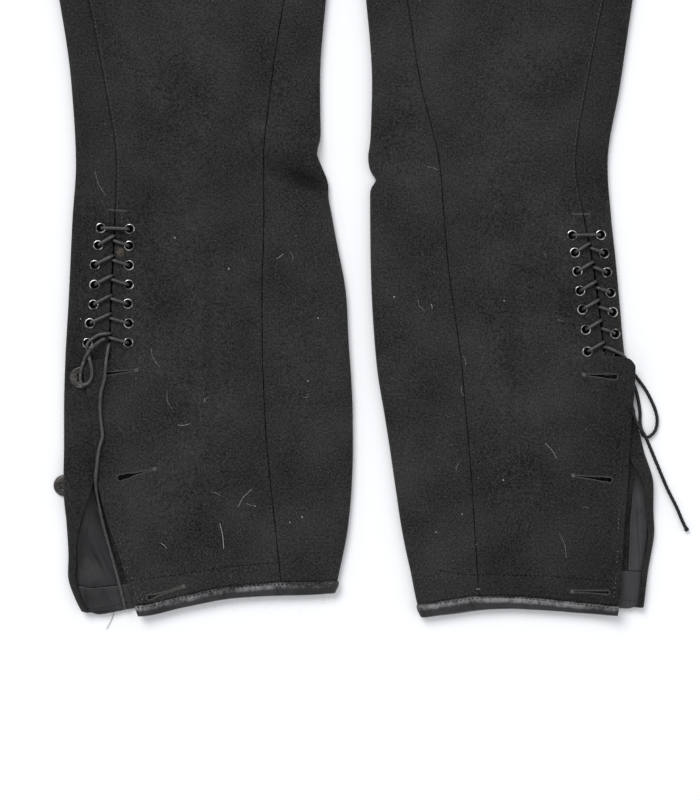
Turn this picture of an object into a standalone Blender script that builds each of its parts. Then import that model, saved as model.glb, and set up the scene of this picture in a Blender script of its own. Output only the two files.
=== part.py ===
"""Knee breeches in black wool, laid flat on their back with the fronts up, laced at the outer calf.

The frame is in metres: +X is the wearer's left, +Y the waist and +Z up from the table. Tables and sizes
here are in millimetres. "out" is the distance from the centre line towards a leg's outer side, and "up"
the height above the lowest point of the hems.
"""

import math
from collections import namedtuple

import bpy
from mathutils import Matrix, Vector
from mathutils.bvhtree import BVHTree

MM = 0.001

# The garment
LENGTH = 895.0
MIDDLE = 447.72
WAIST_SEAM = 855.0
CROTCH = 635.0
CLOTH = 2.0
SEAM_GAP = 0.3
SLIT_GAP = 3.6
SLIT_TOP = 302.0
# Layers, as heights of the middle of the cloth
LOW = CLOTH / 2
TOP = 6.2
LACING_RISE = 0.7
# Folds
FOLD_ROUND = 8.0
UNDER_ROUND = 2.8
TIGHTEST = 1.25
# Trimmings
STRIP = 0.8
BINDING_FRONT, BINDING_BACK = 7.4, 9.0
LINING_TOP = 90.0
# Eyelets and lace
FLANGE_R, BORE_R, BARREL_R, FLARE_R = 4.0, 2.2, 2.5, 2.75
EYELET_HOLE_R = 3.1
LACE_D = 2.4
OVER_FLANGE, INSIDE_Z = 3.65, 3.5
LEFTWARD_DROP, RIGHTWARD_DROP = 7.1, 3.9
# Buttons
BUTTON_R, BUTTON_H = 8.1, 2.4
BUTTON_CLEAR, LIFT_REACH = 9.6, 30.0
# Waist
UNDERLAP = (36.0, 170.0, 1.1)
WAIST_BUTTON_R = 8.5

Station = namedtuple("Station", "up outer edge seam flap inseam inner")
Hem = namedtuple("Hem", "out front back")
Level = namedtuple("Level", "up wrap lip lacing")
Spot = namedtuple("Spot", "out up")
Opening = namedtuple("Opening", "up turn length reach")

# How the back's fold opens out flat at the crotch: the degrees it still turns, its length and where it starts
CROTCH_OPENING = [
    Opening(600, 180, 8.2, 7.2),
    Opening(610, 120, 7.2, 7.8),
    Opening(619, 90, 4.7, 8.4),
    Opening(629, 45, 6.0, 8.4),
    Opening(640, 1, 7.2, 8.4),
    Opening(658, 1, 17.8, 18.0),
    Opening(700, 1, 39.8, 40.0),
]
# Free lace ends: out, up, how far a point passes above what lies under it, and its height where it lies under
LaceStep = namedtuple("LaceStep", "out up over z", defaults=(0, None))
RIGHT_LOOP = [
    LaceStep(176.8, 212.6, 0, 6.1), LaceStep(177.0, 212.6, 0, 9.2), LaceStep(180.4, 212.3, 0.3),
    LaceStep(184.9, 211.5, 0.2), LaceStep(189.9, 208.9, 0.2), LaceStep(193.6, 205.7, 0.3),
    LaceStep(194.6, 202.1, 0.3), LaceStep(193.2, 197.5, 0.8), LaceStep(191.4, 190.3, 1.0),
    LaceStep(191.2, 184.9, 0.3), LaceStep(192.2, 180.6), LaceStep(195.0, 177.2), LaceStep(198.2, 176.6),
    LaceStep(200.1, 180.0), LaceStep(199.8, 184.8), LaceStep(198.2, 189.8, 1.2),
    LaceStep(195.6, 195.8, 3.2), LaceStep(192.2, 200.4, 3.8), LaceStep(188.3, 204.0, 3.2),
    LaceStep(183.6, 207.3, 0.8), LaceStep(180.0, 208.6, 0.3),
]
RIGHT_TAIL = [
    LaceStep(177.1, 204.6, 0, 6.1), LaceStep(177.3, 204.0, 0, 9.3), LaceStep(178.6, 199.4, 1.0),
    LaceStep(180.0, 190.0, 1.2), LaceStep(181.0, 178.0), LaceStep(184.0, 168.2), LaceStep(185.0, 153.8),
    LaceStep(183.2, 141.9), LaceStep(182.2, 135.2), LaceStep(184.6, 126.3), LaceStep(186.0, 112.0),
    LaceStep(186.9, 96.4, 0.3), LaceStep(184.0, 78.5, 0.3), LaceStep(178.2, 54.5), LaceStep(170.6, 25.9),
    LaceStep(167.0, 9.0),
]
LEFT_LOOP = [
    LaceStep(214.2, 186.9, 0, 3.2), LaceStep(216.8, 182.8, 0, 2.6), LaceStep(221.6, 176.7),
    LaceStep(225.9, 169.6), LaceStep(230.3, 160.2), LaceStep(232.8, 153.1), LaceStep(233.6, 146.5),
    LaceStep(232.0, 139.9), LaceStep(227.0, 135.5), LaceStep(222.6, 138.2), LaceStep(221.2, 146.0),
    LaceStep(221.6, 152.0), LaceStep(220.8, 160.2), LaceStep(219.6, 168.5), LaceStep(217.2, 174.5, 0, 2.2),
]
LEFT_TAIL = [
    LaceStep(217.0, 156.0), LaceStep(216.9, 152.0), LaceStep(218.6, 146.0), LaceStep(223.4, 137.6),
    LaceStep(227.3, 130.0), LaceStep(234.3, 113.4), LaceStep(241.2, 96.8), LaceStep(248.2, 82.9),
    LaceStep(252.3, 73.2), LaceStep(254.6, 66.4),
]

THIGH = [
    Station(400, 206, 181, 181, 181, 56, 19.5),
    Station(480, 218, 197, 197, 197, 43, 13.5),
    Station(560, 233, 216, 216, 216, 25, 7.0),
    Station(580, 237, 221, 221, 221, 17, 5.0),
    Station(600, 240, 225, 225, 225, 8.0, 4.0),
    Station(612, 242, 227, 227, 227, 7.0, 3.0),
    Station(640, 246, 232, 232, 232, 0.15, 0.15),
    Station(700, 254.5, 243, 243, 243, 0.15, 0.15),
    Station(740, 253, 242, 242, 242, 0.15, 0.15),
    Station(790, 243, 232, 232, 232, 0.15, 0.15),
    Station(855, 215, 205, 205, 205, 0.15, 0.15),
    Station(895, 213, 203, 203, 203, 0.15, 0.15),
]

RIGHT = {
    "name": "right",
    "side": -1,
    "flap_top": 193.5,
    "flap_corner": 5.0,
    "facing_top": 20,
    "stations": [
        Station(0, 196.0, 191.5, 147.8, 155.6, 46.5, 8.2),
        Station(15, 203.0, 198.2, 150.1, 160.1, 47.7, 6.5),
        Station(33, 207.6, 201.9, 152.6, 165.8, 49.4, 2.8),
        Station(50, 208.3, 201.9, 154.9, 170.9, 51.2, 0.3),
        Station(70, 209.6, 199.3, 158.2, 178.1, 53.3, -2.0),
        Station(98, 211.5, 190.0, 163.3, 185.2, 56.3, -4.3),
        Station(125, 211.5, 184.2, 168.0, 188.3, 58.9, -5.2),
        Station(155, 211.5, 180.9, 172.8, 190.7, 61.0, -5.0),
        Station(180, 211.0, 178.6, 175.6, 196.0, 62.0, -3.8),
        Station(195, 210.3, 177.5, 177.5, 196.5, 62.7, -2.6),
        Station(240, 207.7, 175.9, 175.9, 196.5, 62.9, 2.0),
        Station(300, 204.9, 173.1, 173.1, 196.5, 61.5, 10.5),
        Station(339, 202.5, 172.2, 172.2, 196.5, 61.7, 18.0),
    ]
    + THIGH,
    "hems": [
        Hem(-10, 21.6, 21.6),
        Hem(7, 21.3, 21.5),
        Hem(28, 19.9, 21.4),
        Hem(57, 19.1, 21.0),
        Hem(85, 17.1, 19.5),
        Hem(122, 9.1, 12.5),
        Hem(154, 2.6, 8.4),
        Hem(191, 2.6, 3.2),
        Hem(197, 2.6, 4.5),
        Hem(212, 2.6, 8.0),
    ],
    "levels": [
        Level(0, 4.6, 0, 0),
        Level(86, 4.6, 0, 0),
        Level(104, 3.8, 0, 0),
        Level(172, 3.8, 0, 0),
        Level(187, 4.3, 0.6, 0.4),
        Level(193.5, 5.4, 1.3, 0.65),
        Level(200.5, 6.8, 0, 0.7),
        Level(300, 6.9, 0, 0.7),
        Level(325, 6.2, 0, 0),
        Level(895, 6.2, 0, 0),
    ],
    "front_eyelets": [
        Spot(162.0, 290.8), Spot(162.3, 278.2), Spot(162.5, 263.6), Spot(162.7, 249.1),
        Spot(163.4, 234.8), Spot(162.7, 220.2), Spot(163.0, 205.6),
    ],
    "back_eyelets": [
        Spot(183.8, 291.5), Spot(185.6, 278.6), Spot(189.1, 263.9), Spot(189.4, 249.2),
        Spot(190.3, 234.2), Spot(193.0, 220.2), Spot(194.4, 205.5),
    ],
    "buttons": [Spot(198.8, 179.7), Spot(212.0, 98.4), Spot(185.0, 15.0)],
    "buttons_on_top": 1,
    "buttonholes": [
        (Spot(181.6, 182.2), Spot(157.1, 185.0)),
        (Spot(171.5, 103.9), Spot(143.5, 111.0)),
        (Spot(147.1, 14.9), Spot(122.0, 22.8)),
    ],
    "loop": RIGHT_LOOP,
    "tail": RIGHT_TAIL,
    "loop_slit": 212.6,
    "tail_slit": 204.6,
    "held_end": [],
}

LEFT = {
    "name": "left",
    "side": 1,
    "flap_top": 195.5,
    "flap_corner": 7.0,
    "facing_top": 30,
    "stations": [
        Station(0, 222.6, 217.4, 189.0, 202.9, 100.5, 56.2),
        Station(15, 224.4, 219.4, 189.7, 205.5, 99.8, 52.2),
        Station(33, 226.3, 221.3, 190.5, 206.5, 98.5, 48.7),
        Station(50, 228.0, 222.9, 191.2, 207.5, 97.5, 44.9),
        Station(70, 230.8, 225.0, 192.1, 208.6, 96.2, 41.1),
        Station(98, 230.8, 222.5, 193.3, 210.5, 94.6, 37.0),
        Station(125, 223.7, 209.4, 194.4, 212.3, 92.5, 33.1),
        Station(155, 217.0, 200.3, 195.0, 215.1, 89.7, 28.5),
        Station(180, 211.0, 195.8, 194.9, 216.3, 87.7, 24.5),
        Station(196, 209.0, 193.8, 193.8, 216.3, 85.9, 22.9),
        Station(240, 205.1, 188.7, 188.7, 216.3, 79.7, 20.1),
        Station(270, 202.3, 184.2, 184.2, 216.3, 76.1, 18.9),
        Station(300, 199.1, 178.3, 178.3, 216.3, 73.6, 18.3),
        Station(339, 196.5, 172.2, 172.2, 216.3, 70.4, 18.0),
    ]
    + THIGH,
    "hems": [
        Hem(40, 2.3, 2.3),
        Hem(56, 2.5, 2.1),
        Hem(69, 4.6, 2.6),
        Hem(85, 8.3, 4.5),
        Hem(98.5, 11.4, 7.4),
        Hem(121.6, 8.3, 9.0),
        Hem(142.7, 7.2, 9.5),
        Hem(184.8, 4.6, 10.0),
        Hem(204, 4.1, 10.2),
        Hem(224, 4.1, 8.7),
    ],
    "levels": [
        Level(0, 4.6, 0, 0),
        Level(92, 4.6, 0, 0),
        Level(110, 3.8, 0, 0),
        Level(163, 3.8, 0.1, 0),
        Level(178, 5.2, 1.5, 0.2),
        Level(189, 6.8, 3.3, 0.6),
        Level(196, 6.9, 3.7, 0.7),
        Level(201, 6.9, 0, 0.7),
        Level(298, 6.9, 0, 0.7),
        Level(325, 6.2, 0, 0),
        Level(895, 6.2, 0, 0),
    ],
    "front_eyelets": [
        Spot(169.4, 286.1), Spot(171.4, 273.1), Spot(173.2, 259.1), Spot(175.2, 244.5),
        Spot(177.0, 230.6), Spot(179.5, 215.4), Spot(180.8, 199.0),
    ],
    "back_eyelets": [
        Spot(190.8, 286.4), Spot(193.4, 272.6), Spot(195.4, 258.2), Spot(198.0, 243.0),
        Spot(199.6, 228.5), Spot(201.4, 212.3), Spot(203.0, 198.4),
    ],
    "buttons": [Spot(205.5, 179.0), Spot(216.7, 98.0), Spot(207.0, 19.0)],
    "buttons_on_top": 0,
    "buttonholes": [
        (Spot(202.7, 179.8), Spot(178.3, 181.7)),
        (Spot(198.4, 103.1), Spot(170.4, 106.0)),
        (Spot(195.5, 18.8), Spot(169.7, 19.2)),
    ],
    "loop": LEFT_LOOP,
    "tail": LEFT_TAIL,
    "loop_slit": 202.4,
    "tail_slit": 198.0,
    "held_end": [
        (195.4, 202.0, 10.2), (199.0, 200.4, 10.8), (203.0, 198.4, 11.0), (205.8, 196.9, 10.3),
        (208.5, 194.6, 8.0), (211.2, 191.0, 4.6), (213.4, 187.8, 1.6),
    ],
}

ROWS = [
    0, 9, 20, 30, 44, 62, 86, 106, 130, 154, 172, 183, 193.5, 202, 215, 238, 268, 299, 306, 340, 400,
    485, 580, 600, 610, 619, 629, 640, 658, 700, 740, 790, 854.7,
]
# The closest of them follow the opened crotch, which only the back panels have.
CROTCH_ROWS = (629, 658)
OUTER_WRAP, QUARTER, INNER_WRAP, FLAP_COLUMNS = 5, 2, 4, 3
# Columns across the back's flat stretch and the front, as shares of the way in from the outer side
FLAT_STEPS = (0, 0.045, 0.09, 0.15, 0.23, 0.55, 1)
FRONT_STEPS = (0, 0.055, 0.13, 0.24, 0.42, 0.62, 0.82, 1)
FLAT, FRONT_COLUMNS = len(FLAT_STEPS) - 1, len(FRONT_STEPS) - 1


def eased(t):
    """A smooth step from 0 to 1."""
    t = min(max(t, 0.0), 1.0)
    return t * t * (3 - 2 * t)


def value_at(rows, column, at):
    """A table's column at a place between its rows, on a smooth curve that never overshoots."""
    places = [row[0] for row in rows]
    values = [getattr(row, column) for row in rows]
    at = min(max(at, places[0]), places[-1])
    i = min(max(sum(place <= at for place in places) - 1, 0), len(rows) - 2)
    slopes = [
        (values[k + 1] - values[k]) / (places[k + 1] - places[k]) for k in range(len(rows) - 1)
    ]

    def tangent(k):
        if k == 0 or k == len(rows) - 1:
            return slopes[min(k, len(slopes) - 1)]
        before, after = slopes[k - 1], slopes[k]
        return 0.0 if before * after <= 0 else 2 * before * after / (before + after)

    span = places[i + 1] - places[i]
    t = (at - places[i]) / span
    return (
        (2 * t**3 - 3 * t**2 + 1) * values[i]
        + (t**3 - 2 * t**2 + t) * span * tangent(i)
        + (3 * t**2 - 2 * t**3) * values[i + 1]
        + (t**3 - t**2) * span * tangent(i + 1)
    )


def station(leg, column, up):
    return value_at(leg["stations"], column, up)


def level(leg, column, up):
    return value_at(leg["levels"], column, up)


def plateau(out, up, spot, full, reach):
    """1 within full of a spot, easing to 0 at reach."""
    return 1 - eased((math.hypot(out - spot.out, up - spot.up) - full) / (reach - full))


def lift(leg, out, up):
    """How far everything rises over the buttons that lie under the cloth."""
    under = leg["buttons"][leg["buttons_on_top"]:]
    return (BUTTON_H + 0.45) * max(
        plateau(out, up, spot, BUTTON_CLEAR, LIFT_REACH) for spot in under
    )


def relief(leg, out, up):
    """Soft folds in the upper layer: a trough behind the knee and a low ridge down the shin."""
    trough = math.exp(-(((out - 42) / 16) ** 2) - ((up - 345) / 24) ** 2)
    ridge = math.exp(-(((out - 118) / 26) ** 2)) * eased(up / 90) * eased((560 - up) / 160)
    calf = math.exp(-(((out - 30) / 22) ** 2) - ((up - 190) / 70) ** 2)
    thigh = math.exp(-(((out - 120) / 40) ** 2) - ((up - 700) / 60) ** 2)
    return 0.45 * ridge + 0.35 * calf + 0.4 * thigh - 0.55 * trough


def half_gap(up):
    """Half of what parts front and back at the outseam: a seam above, the laced slit below."""
    return SEAM_GAP / 2 + (SLIT_GAP - SEAM_GAP) / 2 * (1 - eased((up - SLIT_TOP + 4) / 8))


def sheared(leg, up, out, column):
    """A row's height, bent near the hem so that the lowest row follows it."""
    if up >= 110:
        return up
    return up + value_at(leg["hems"], column, out) * (1 - up / 110) ** 1.5


def wrap_z(across, round_, level_z, fold_z):
    """Height at a distance in from a fold whose upper half is a quarter ellipse."""
    x = 1 - min(across, round_) / round_
    return fold_z + (level_z - fold_z) * math.sqrt(max(0.0, 1 - x * x))


def outer_top(leg, up):
    """The wrap's level, the fold's height and its roundness above and below, on the outer side."""
    top = level(leg, "wrap", up)
    width = station(leg, "outer", up) - LOW - station(leg, "edge", up)
    roundest = ((top - LOW) / 2) ** 2 / TIGHTEST
    return top, (LOW + top) / 2, min(FOLD_ROUND, 0.8 * width, roundest), min(UNDER_ROUND, roundest)


def rounded_steps(width, round_, column, count):
    """How far in from a fold a wrap's column stands: the last three span the rounding, the rest the flat."""
    left = count - column
    if left < 3:
        return round_ * (0, 0.29, 1)[left]
    return round_ + (width - round_) * (left - 2) / (count - 2)


def back_section(leg, up, column, group):
    """out and z of one column of the back panel's cross-section. group counts the columns of each stretch."""
    outer = station(leg, "outer", up) - CLOTH / 2
    inner = station(leg, "inner", up) + CLOTH / 2
    if group == "outer wrap":
        top, fold, round_, _ = outer_top(leg, up)
        width = outer - station(leg, "edge", up) - half_gap(up) * (up > leg["flap_top"] - 12)
        across = rounded_steps(width, round_, column, OUTER_WRAP)
        return outer - across, wrap_z(across, round_, top, fold)
    if group == "outer under":
        top, fold, _, under = outer_top(leg, up)
        angle = math.pi / 2 * column / QUARTER
        return outer - under * (1 - math.cos(angle)), fold - (fold - LOW) * math.sin(angle)
    folded = up < CROTCH_OPENING[0].up
    if group == "flat":
        a = outer - outer_top(leg, up)[3]
        b = inner + UNDER_ROUND if folded else value_at(CROTCH_OPENING, "reach", up)
        return a + (b - a) * FLAT_STEPS[column], LOW
    if not folded:
        along = (column + QUARTER * (group == "inner wrap")) / (QUARTER + INNER_WRAP)
        turn = math.radians(value_at(CROTCH_OPENING, "turn", up))
        bend = value_at(CROTCH_OPENING, "length", up) / turn
        out = value_at(CROTCH_OPENING, "reach", up) - bend * math.sin(turn * along)
        return out, LOW + bend * (1 - math.cos(turn * along))
    fold = (LOW + TOP) / 2
    if group == "inner under":
        angle = math.pi / 2 * (1 - column / QUARTER)
        out = inner + UNDER_ROUND * (1 - math.cos(angle))
        return out, fold - (fold - LOW) * math.sin(angle)
    width = max(station(leg, "inseam", up) - SEAM_GAP / 2 - inner, 0.6)
    round_ = min(UNDER_ROUND, 0.8 * width)
    across = rounded_steps(width, round_, INNER_WRAP - column, INNER_WRAP)
    return inner + across, wrap_z(across, round_, TOP, fold)


BACK_COLUMNS = (
    [("outer wrap", c) for c in range(OUTER_WRAP)]
    + [("outer under", c) for c in range(QUARTER)]
    + [("flat", c) for c in range(FLAT)]
    + [("inner under", c) for c in range(QUARTER)]
    + [("inner wrap", c) for c in range(INNER_WRAP + 1)]
)


def is_upper(z):
    """How much a height belongs to the upper layer."""
    return eased((z - 3.6) / 2.2)


def back_point(leg, up, index):
    """A point of the middle of the back panel's cloth."""
    group, column = BACK_COLUMNS[index]
    hem = "front" if group == "inner wrap" else "back"
    out, z = back_section(leg, up, column, group)
    height = sheared(leg, up, out, hem)
    out, z = back_section(leg, height, column, group)
    return Vector((out, height, z + lift(leg, out, height) + is_upper(z) * relief(leg, out, height)))


def front_z(leg, out, up):
    """The height of the front panel's middle, raised beside the lacing and where the flap lies on something."""
    inwards = station(leg, "seam", up) - out
    z = TOP + relief(leg, out, up)
    z += level(leg, "lacing", up) * (1 - eased((inwards - 19) / 26))
    raised = level(leg, "lip", up) * (1 - eased(inwards / 6))
    if leg["buttons_on_top"] and up < leg["flap_top"] + 1:
        over_button = 3.0 * plateau(out, up, leg["buttons"][0], 13.0, 30.0)
        raised = max(raised, over_button * eased((8 - inwards) / 14))
    return z + raised + lift(leg, out, up)


def front_point(leg, up, column):
    """A point of the front panel's middle. Columns below 0 are the flap's, from the seam line outwards."""
    out = up
    height = up
    for _ in range(3):
        seam = station(leg, "seam", height)
        if column < 0:
            out = seam + (station(leg, "flap", height) - seam) * -column / FLAP_COLUMNS
        else:
            edge = seam if up <= leg["flap_top"] else seam - half_gap(height)
            inseam = station(leg, "inseam", height) + SEAM_GAP / 2 * (height < CROTCH)
            out = edge + (inseam - edge) * FRONT_STEPS[column]
        height = sheared(leg, up, out, "front")
    if column < 0 and up == leg["flap_top"]:
        height -= leg["flap_corner"] * (-column / FLAP_COLUMNS) ** 3
    return Vector((out, height, front_z(leg, out, height)))


def placed(leg, point):
    """A leg's point in the frame, in metres."""
    return Vector((leg["side"] * point.x, point.y - MIDDLE, point.z)) * MM


def material(name, hex_colour, metallic, roughness):
    made = bpy.data.materials.new(name)
    made.use_nodes = True
    shader = made.node_tree.nodes["Principled BSDF"]
    channels = [int(hex_colour[k : k + 2], 16) / 255 for k in (0, 2, 4)]
    linear = [c / 12.92 if c <= 0.04045 else ((c + 0.055) / 1.055) ** 2.4 for c in channels]
    shader.inputs["Base Color"].default_value = (*linear, 1)
    shader.inputs["Metallic"].default_value = metallic
    shader.inputs["Roughness"].default_value = roughness
    return made


def add_mesh(name, points, faces, finish):
    mesh = bpy.data.meshes.new(name)
    mesh.from_pydata([tuple(p) for p in points], [], faces)
    mesh.validate()
    made = bpy.data.objects.new(name, mesh)
    made.data.materials.append(finish)
    bpy.context.collection.objects.link(made)
    return made


def add_cutter(name, points, faces, target):
    """A closed helper that cuts its shapes out of a piece."""
    mesh = bpy.data.meshes.new(name)
    mesh.from_pydata([tuple(p) for p in points], [], faces)
    cutter = bpy.data.objects.new(name, mesh)
    bpy.context.collection.objects.link(cutter)
    cutter.hide_render = True
    cutter.display_type = "WIRE"
    cut = target.modifiers.new(name, "BOOLEAN")
    cut.operation, cut.solver, cut.object = "DIFFERENCE", "EXACT", cutter


def add_cloth(name, grid, thickness, finish):
    """A cloth piece from the points of its middle, given as {(row, column): point}, with its thickness."""
    order = {key: i for i, key in enumerate(sorted(grid))}
    faces = []
    for row, column in order:
        corners = [(row, column), (row, column + 1), (row + 1, column + 1), (row + 1, column)]
        if all(corner in order for corner in corners):
            faces.append([order[corner] for corner in corners])
    made = add_mesh(name, [grid[key] for key in order], faces, finish)
    solid = made.modifiers.new("cloth", "SOLIDIFY")
    solid.thickness, solid.offset = thickness * MM, 0
    return made


def lathe(profile, sides, matrix):
    """Points and faces of a closed ring: profile is (radius, height) pairs that run round its section."""
    points, faces = [], []
    for s in range(sides):
        turn = Matrix.Rotation(2 * math.pi * s / sides, 4, "Z")
        points += [matrix @ (turn @ Vector((r, 0, h))) for r, h in profile]
    n = len(profile)
    for s in range(sides):
        a, b = s * n, (s + 1) % sides * n
        faces += [(a + k, b + k, b + (k + 1) % n, a + (k + 1) % n) for k in range(n)]
    return points, faces


def prism(outline, low, high, matrix):
    """Points and faces of an upright prism over a counter-clockwise outline."""
    n = len(outline)
    points = [matrix @ Vector((x, y, z)) for z in (low, high) for x, y in outline]
    faces = [list(range(n))[::-1], list(range(n, 2 * n))]
    faces += [(k, (k + 1) % n, n + (k + 1) % n, n + k) for k in range(n)]
    return points, faces


def joined(shapes):
    """Several shapes' points and faces as one."""
    points, faces = [], []
    for more, rings in shapes:
        faces += [[len(points) + k for k in ring] for ring in rings]
        points += more
    return points, faces


def circle(radius, sides):
    steps = [2 * math.pi * k / sides for k in range(sides)]
    return [(radius * math.cos(a), radius * math.sin(a)) for a in steps]


def wrap_spot(leg, spot):
    """The middle of the back panel's outer wrap at a spot."""
    outer = station(leg, "outer", spot.up) - CLOTH / 2
    top, fold, round_, _ = outer_top(leg, spot.up)
    z = wrap_z(outer - spot.out, round_, top, fold)
    return Vector((spot.out, spot.up, z + lift(leg, spot.out, spot.up)))


def front_spot(leg, spot):
    return Vector((spot.out, spot.up, front_z(leg, spot.out, spot.up)))


def seat(leg, spot, surface, reach=2.5):
    """A frame in metres on the cloth at a spot, its Z along the cloth's normal."""
    here = placed(leg, surface(leg, spot))
    across = placed(leg, surface(leg, Spot(spot.out + reach, spot.up))) - placed(
        leg, surface(leg, Spot(spot.out - reach, spot.up))
    )
    along = placed(leg, surface(leg, Spot(spot.out, spot.up + reach))) - placed(
        leg, surface(leg, Spot(spot.out, spot.up - reach))
    )
    normal = across.cross(along).normalized() * leg["side"]
    x = (along.cross(normal)).normalized()
    y = normal.cross(x)
    frame = Matrix((x, y, normal)).transposed().to_4x4()
    frame.translation = here
    return frame @ Matrix.Scale(MM, 4)


def eyelet_seats(leg):
    fronts = [seat(leg, spot, front_spot) for spot in leg["front_eyelets"]]
    backs = [seat(leg, spot, wrap_spot) for spot in leg["back_eyelets"]]
    return fronts, backs


def make_panels(leg, wool):
    name = leg["name"]
    grid = {
        (r, c): placed(leg, back_point(leg, up, c))
        for r, up in enumerate(ROWS)
        for c in range(len(BACK_COLUMNS))
    }
    back = add_cloth(f"back_panel_{name}", grid, CLOTH, wool)
    rows = sorted({*(up for up in ROWS if up not in CROTCH_ROWS and up != 193.5), leg["flap_top"]})
    grid = {}
    for r, up in enumerate(rows):
        first = -FLAP_COLUMNS if up <= leg["flap_top"] else 0
        for c in range(first, FRONT_COLUMNS + 1):
            grid[r, c] = placed(leg, front_point(leg, up, c))
    front = add_cloth(f"front_panel_{name}", grid, CLOTH, wool)
    fronts, backs = eyelet_seats(leg)
    hole = circle(EYELET_HOLE_R, 6)
    front_cuts = [prism(hole, -1.9, 1.9, frame) for frame in fronts]
    for start, end in leg["buttonholes"]:
        front_cuts.append(buttonhole(leg, start, end))
    add_cutter(f"cut_front_{name}", *joined(front_cuts), front)
    back_cuts = [prism(hole, -1.9, 1.9, frame) for frame in backs]
    add_cutter(f"cut_back_{name}", *joined(back_cuts), back)


def buttonhole(leg, start, end):
    """A cutter for a keyhole buttonhole from its round outer end to its barred inner end."""
    a, b = placed(leg, front_spot(leg, start)), placed(leg, front_spot(leg, end))
    x = (b - a).normalized()
    y = Vector((0, 0, 1)).cross(x).normalized()
    frame = Matrix((x, y, x.cross(y))).transposed().to_4x4()
    frame.translation = a
    length, slot, eye = (b - a).length / MM, 0.7, 1.7
    arc = [math.radians(25 + 310 * k / 8) for k in range(9)]
    outline = [(eye * math.cos(t), eye * math.sin(t)) for t in arc]
    outline += [(length, -slot), (length, slot)]
    return prism(outline, -2.2, 2.2, frame @ Matrix.Scale(MM, 4))


def make_eyelets(leg, finish):
    profile = [
        (BORE_R, -1.8), (FLARE_R, -1.8), (BARREL_R, 1.3), (FLANGE_R, 1.4), (3.2, 2.0),
        (BORE_R, 1.75),
    ]
    for column, frames in zip(("front", "back"), eyelet_seats(leg)):
        for k, frame in enumerate(frames, 1):
            add_mesh(f"eyelet_{leg['name']}_{column}_{k}", *lathe(profile, 8, frame), finish)


def add_button(name, frame, radius, finish):
    """A four-hole button with a raised rim. Its holes go right through."""
    rim = [(0.6, 1.0), (0.78, 1.9), (0.92, 2.0), (1.0, 1.2), (0.78, 0.0)]
    sides = 10
    rings = [(r * radius, h * BUTTON_H / 2.0) for r, h in reversed(rim)]
    points, faces = [], []
    for r, h in rings:
        points += [frame @ Vector((x, y, h)) for x, y in circle(r, sides)]
    for k in range(len(rings) - 1):
        for s in range(sides):
            t = (s + 1) % sides
            faces.append((k * sides + s, k * sides + t, (k + 1) * sides + t, (k + 1) * sides + s))
    faces.append(list(range(sides))[::-1])
    faces.append([(len(rings) - 1) * sides + s for s in range(sides)])
    made = add_mesh(name, points, faces, finish)
    bore, ring = 0.11 * radius, 0.24 * radius
    holes = [
        prism([(x + ring * sx, y + ring * sy) for x, y in circle(bore, 4)], -1, 4, frame)
        for sx in (-1, 1)
        for sy in (-1, 1)
    ]
    add_cutter(f"cut_{name}", *joined(holes), made)
    return made


def make_buttons(leg, finish):
    for k, spot in enumerate(leg["buttons"]):
        if k < leg["buttons_on_top"]:
            frame = seat(leg, spot, wrap_spot, 7) @ Matrix.Translation((0, 0, CLOTH / 2 + 0.35))
        else:
            frame = Matrix.Translation(placed(leg, Vector((spot.out, spot.up, BUTTON_H))))
            frame = frame @ Matrix.Rotation(math.pi, 4, "X") @ Matrix.Scale(MM, 4)
        add_button(f"calf_button_{leg['name']}_{k + 1}", frame, BUTTON_R, finish)


def strip(name, middles, ups, insides, section, finish):
    """A thin strip bent round an edge. middles are the edge's points, ups point from them into the panel, and
    insides across the cloth. section is (into the panel, across) pairs that run round the edge."""
    grid = {}
    for c, (middle, up, inside) in enumerate(zip(middles, ups, insides)):
        for r, (along, across) in enumerate(section):
            grid[r, c] = middle + (up * along + inside * across) * MM
    return add_cloth(name, grid, STRIP, finish)


def hem_run(leg, point, columns):
    """The hem's points, the directions up the panel and the cloth's normals, at some columns of a panel."""
    middles, ups, normals = [], [], []
    last = len(columns) - 1
    for k, column in enumerate(columns):
        here, above = placed(leg, point(leg, 0, column)), placed(leg, point(leg, 14, column))
        before = placed(leg, point(leg, 0, columns[max(k - 1, 0)]))
        after = placed(leg, point(leg, 0, columns[min(k + 1, last)]))
        up = (above - here).normalized()
        middles.append(here)
        ups.append(up)
        normals.append((after - before).cross(up).normalized() * -leg["side"])
    return middles, ups, normals


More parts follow.
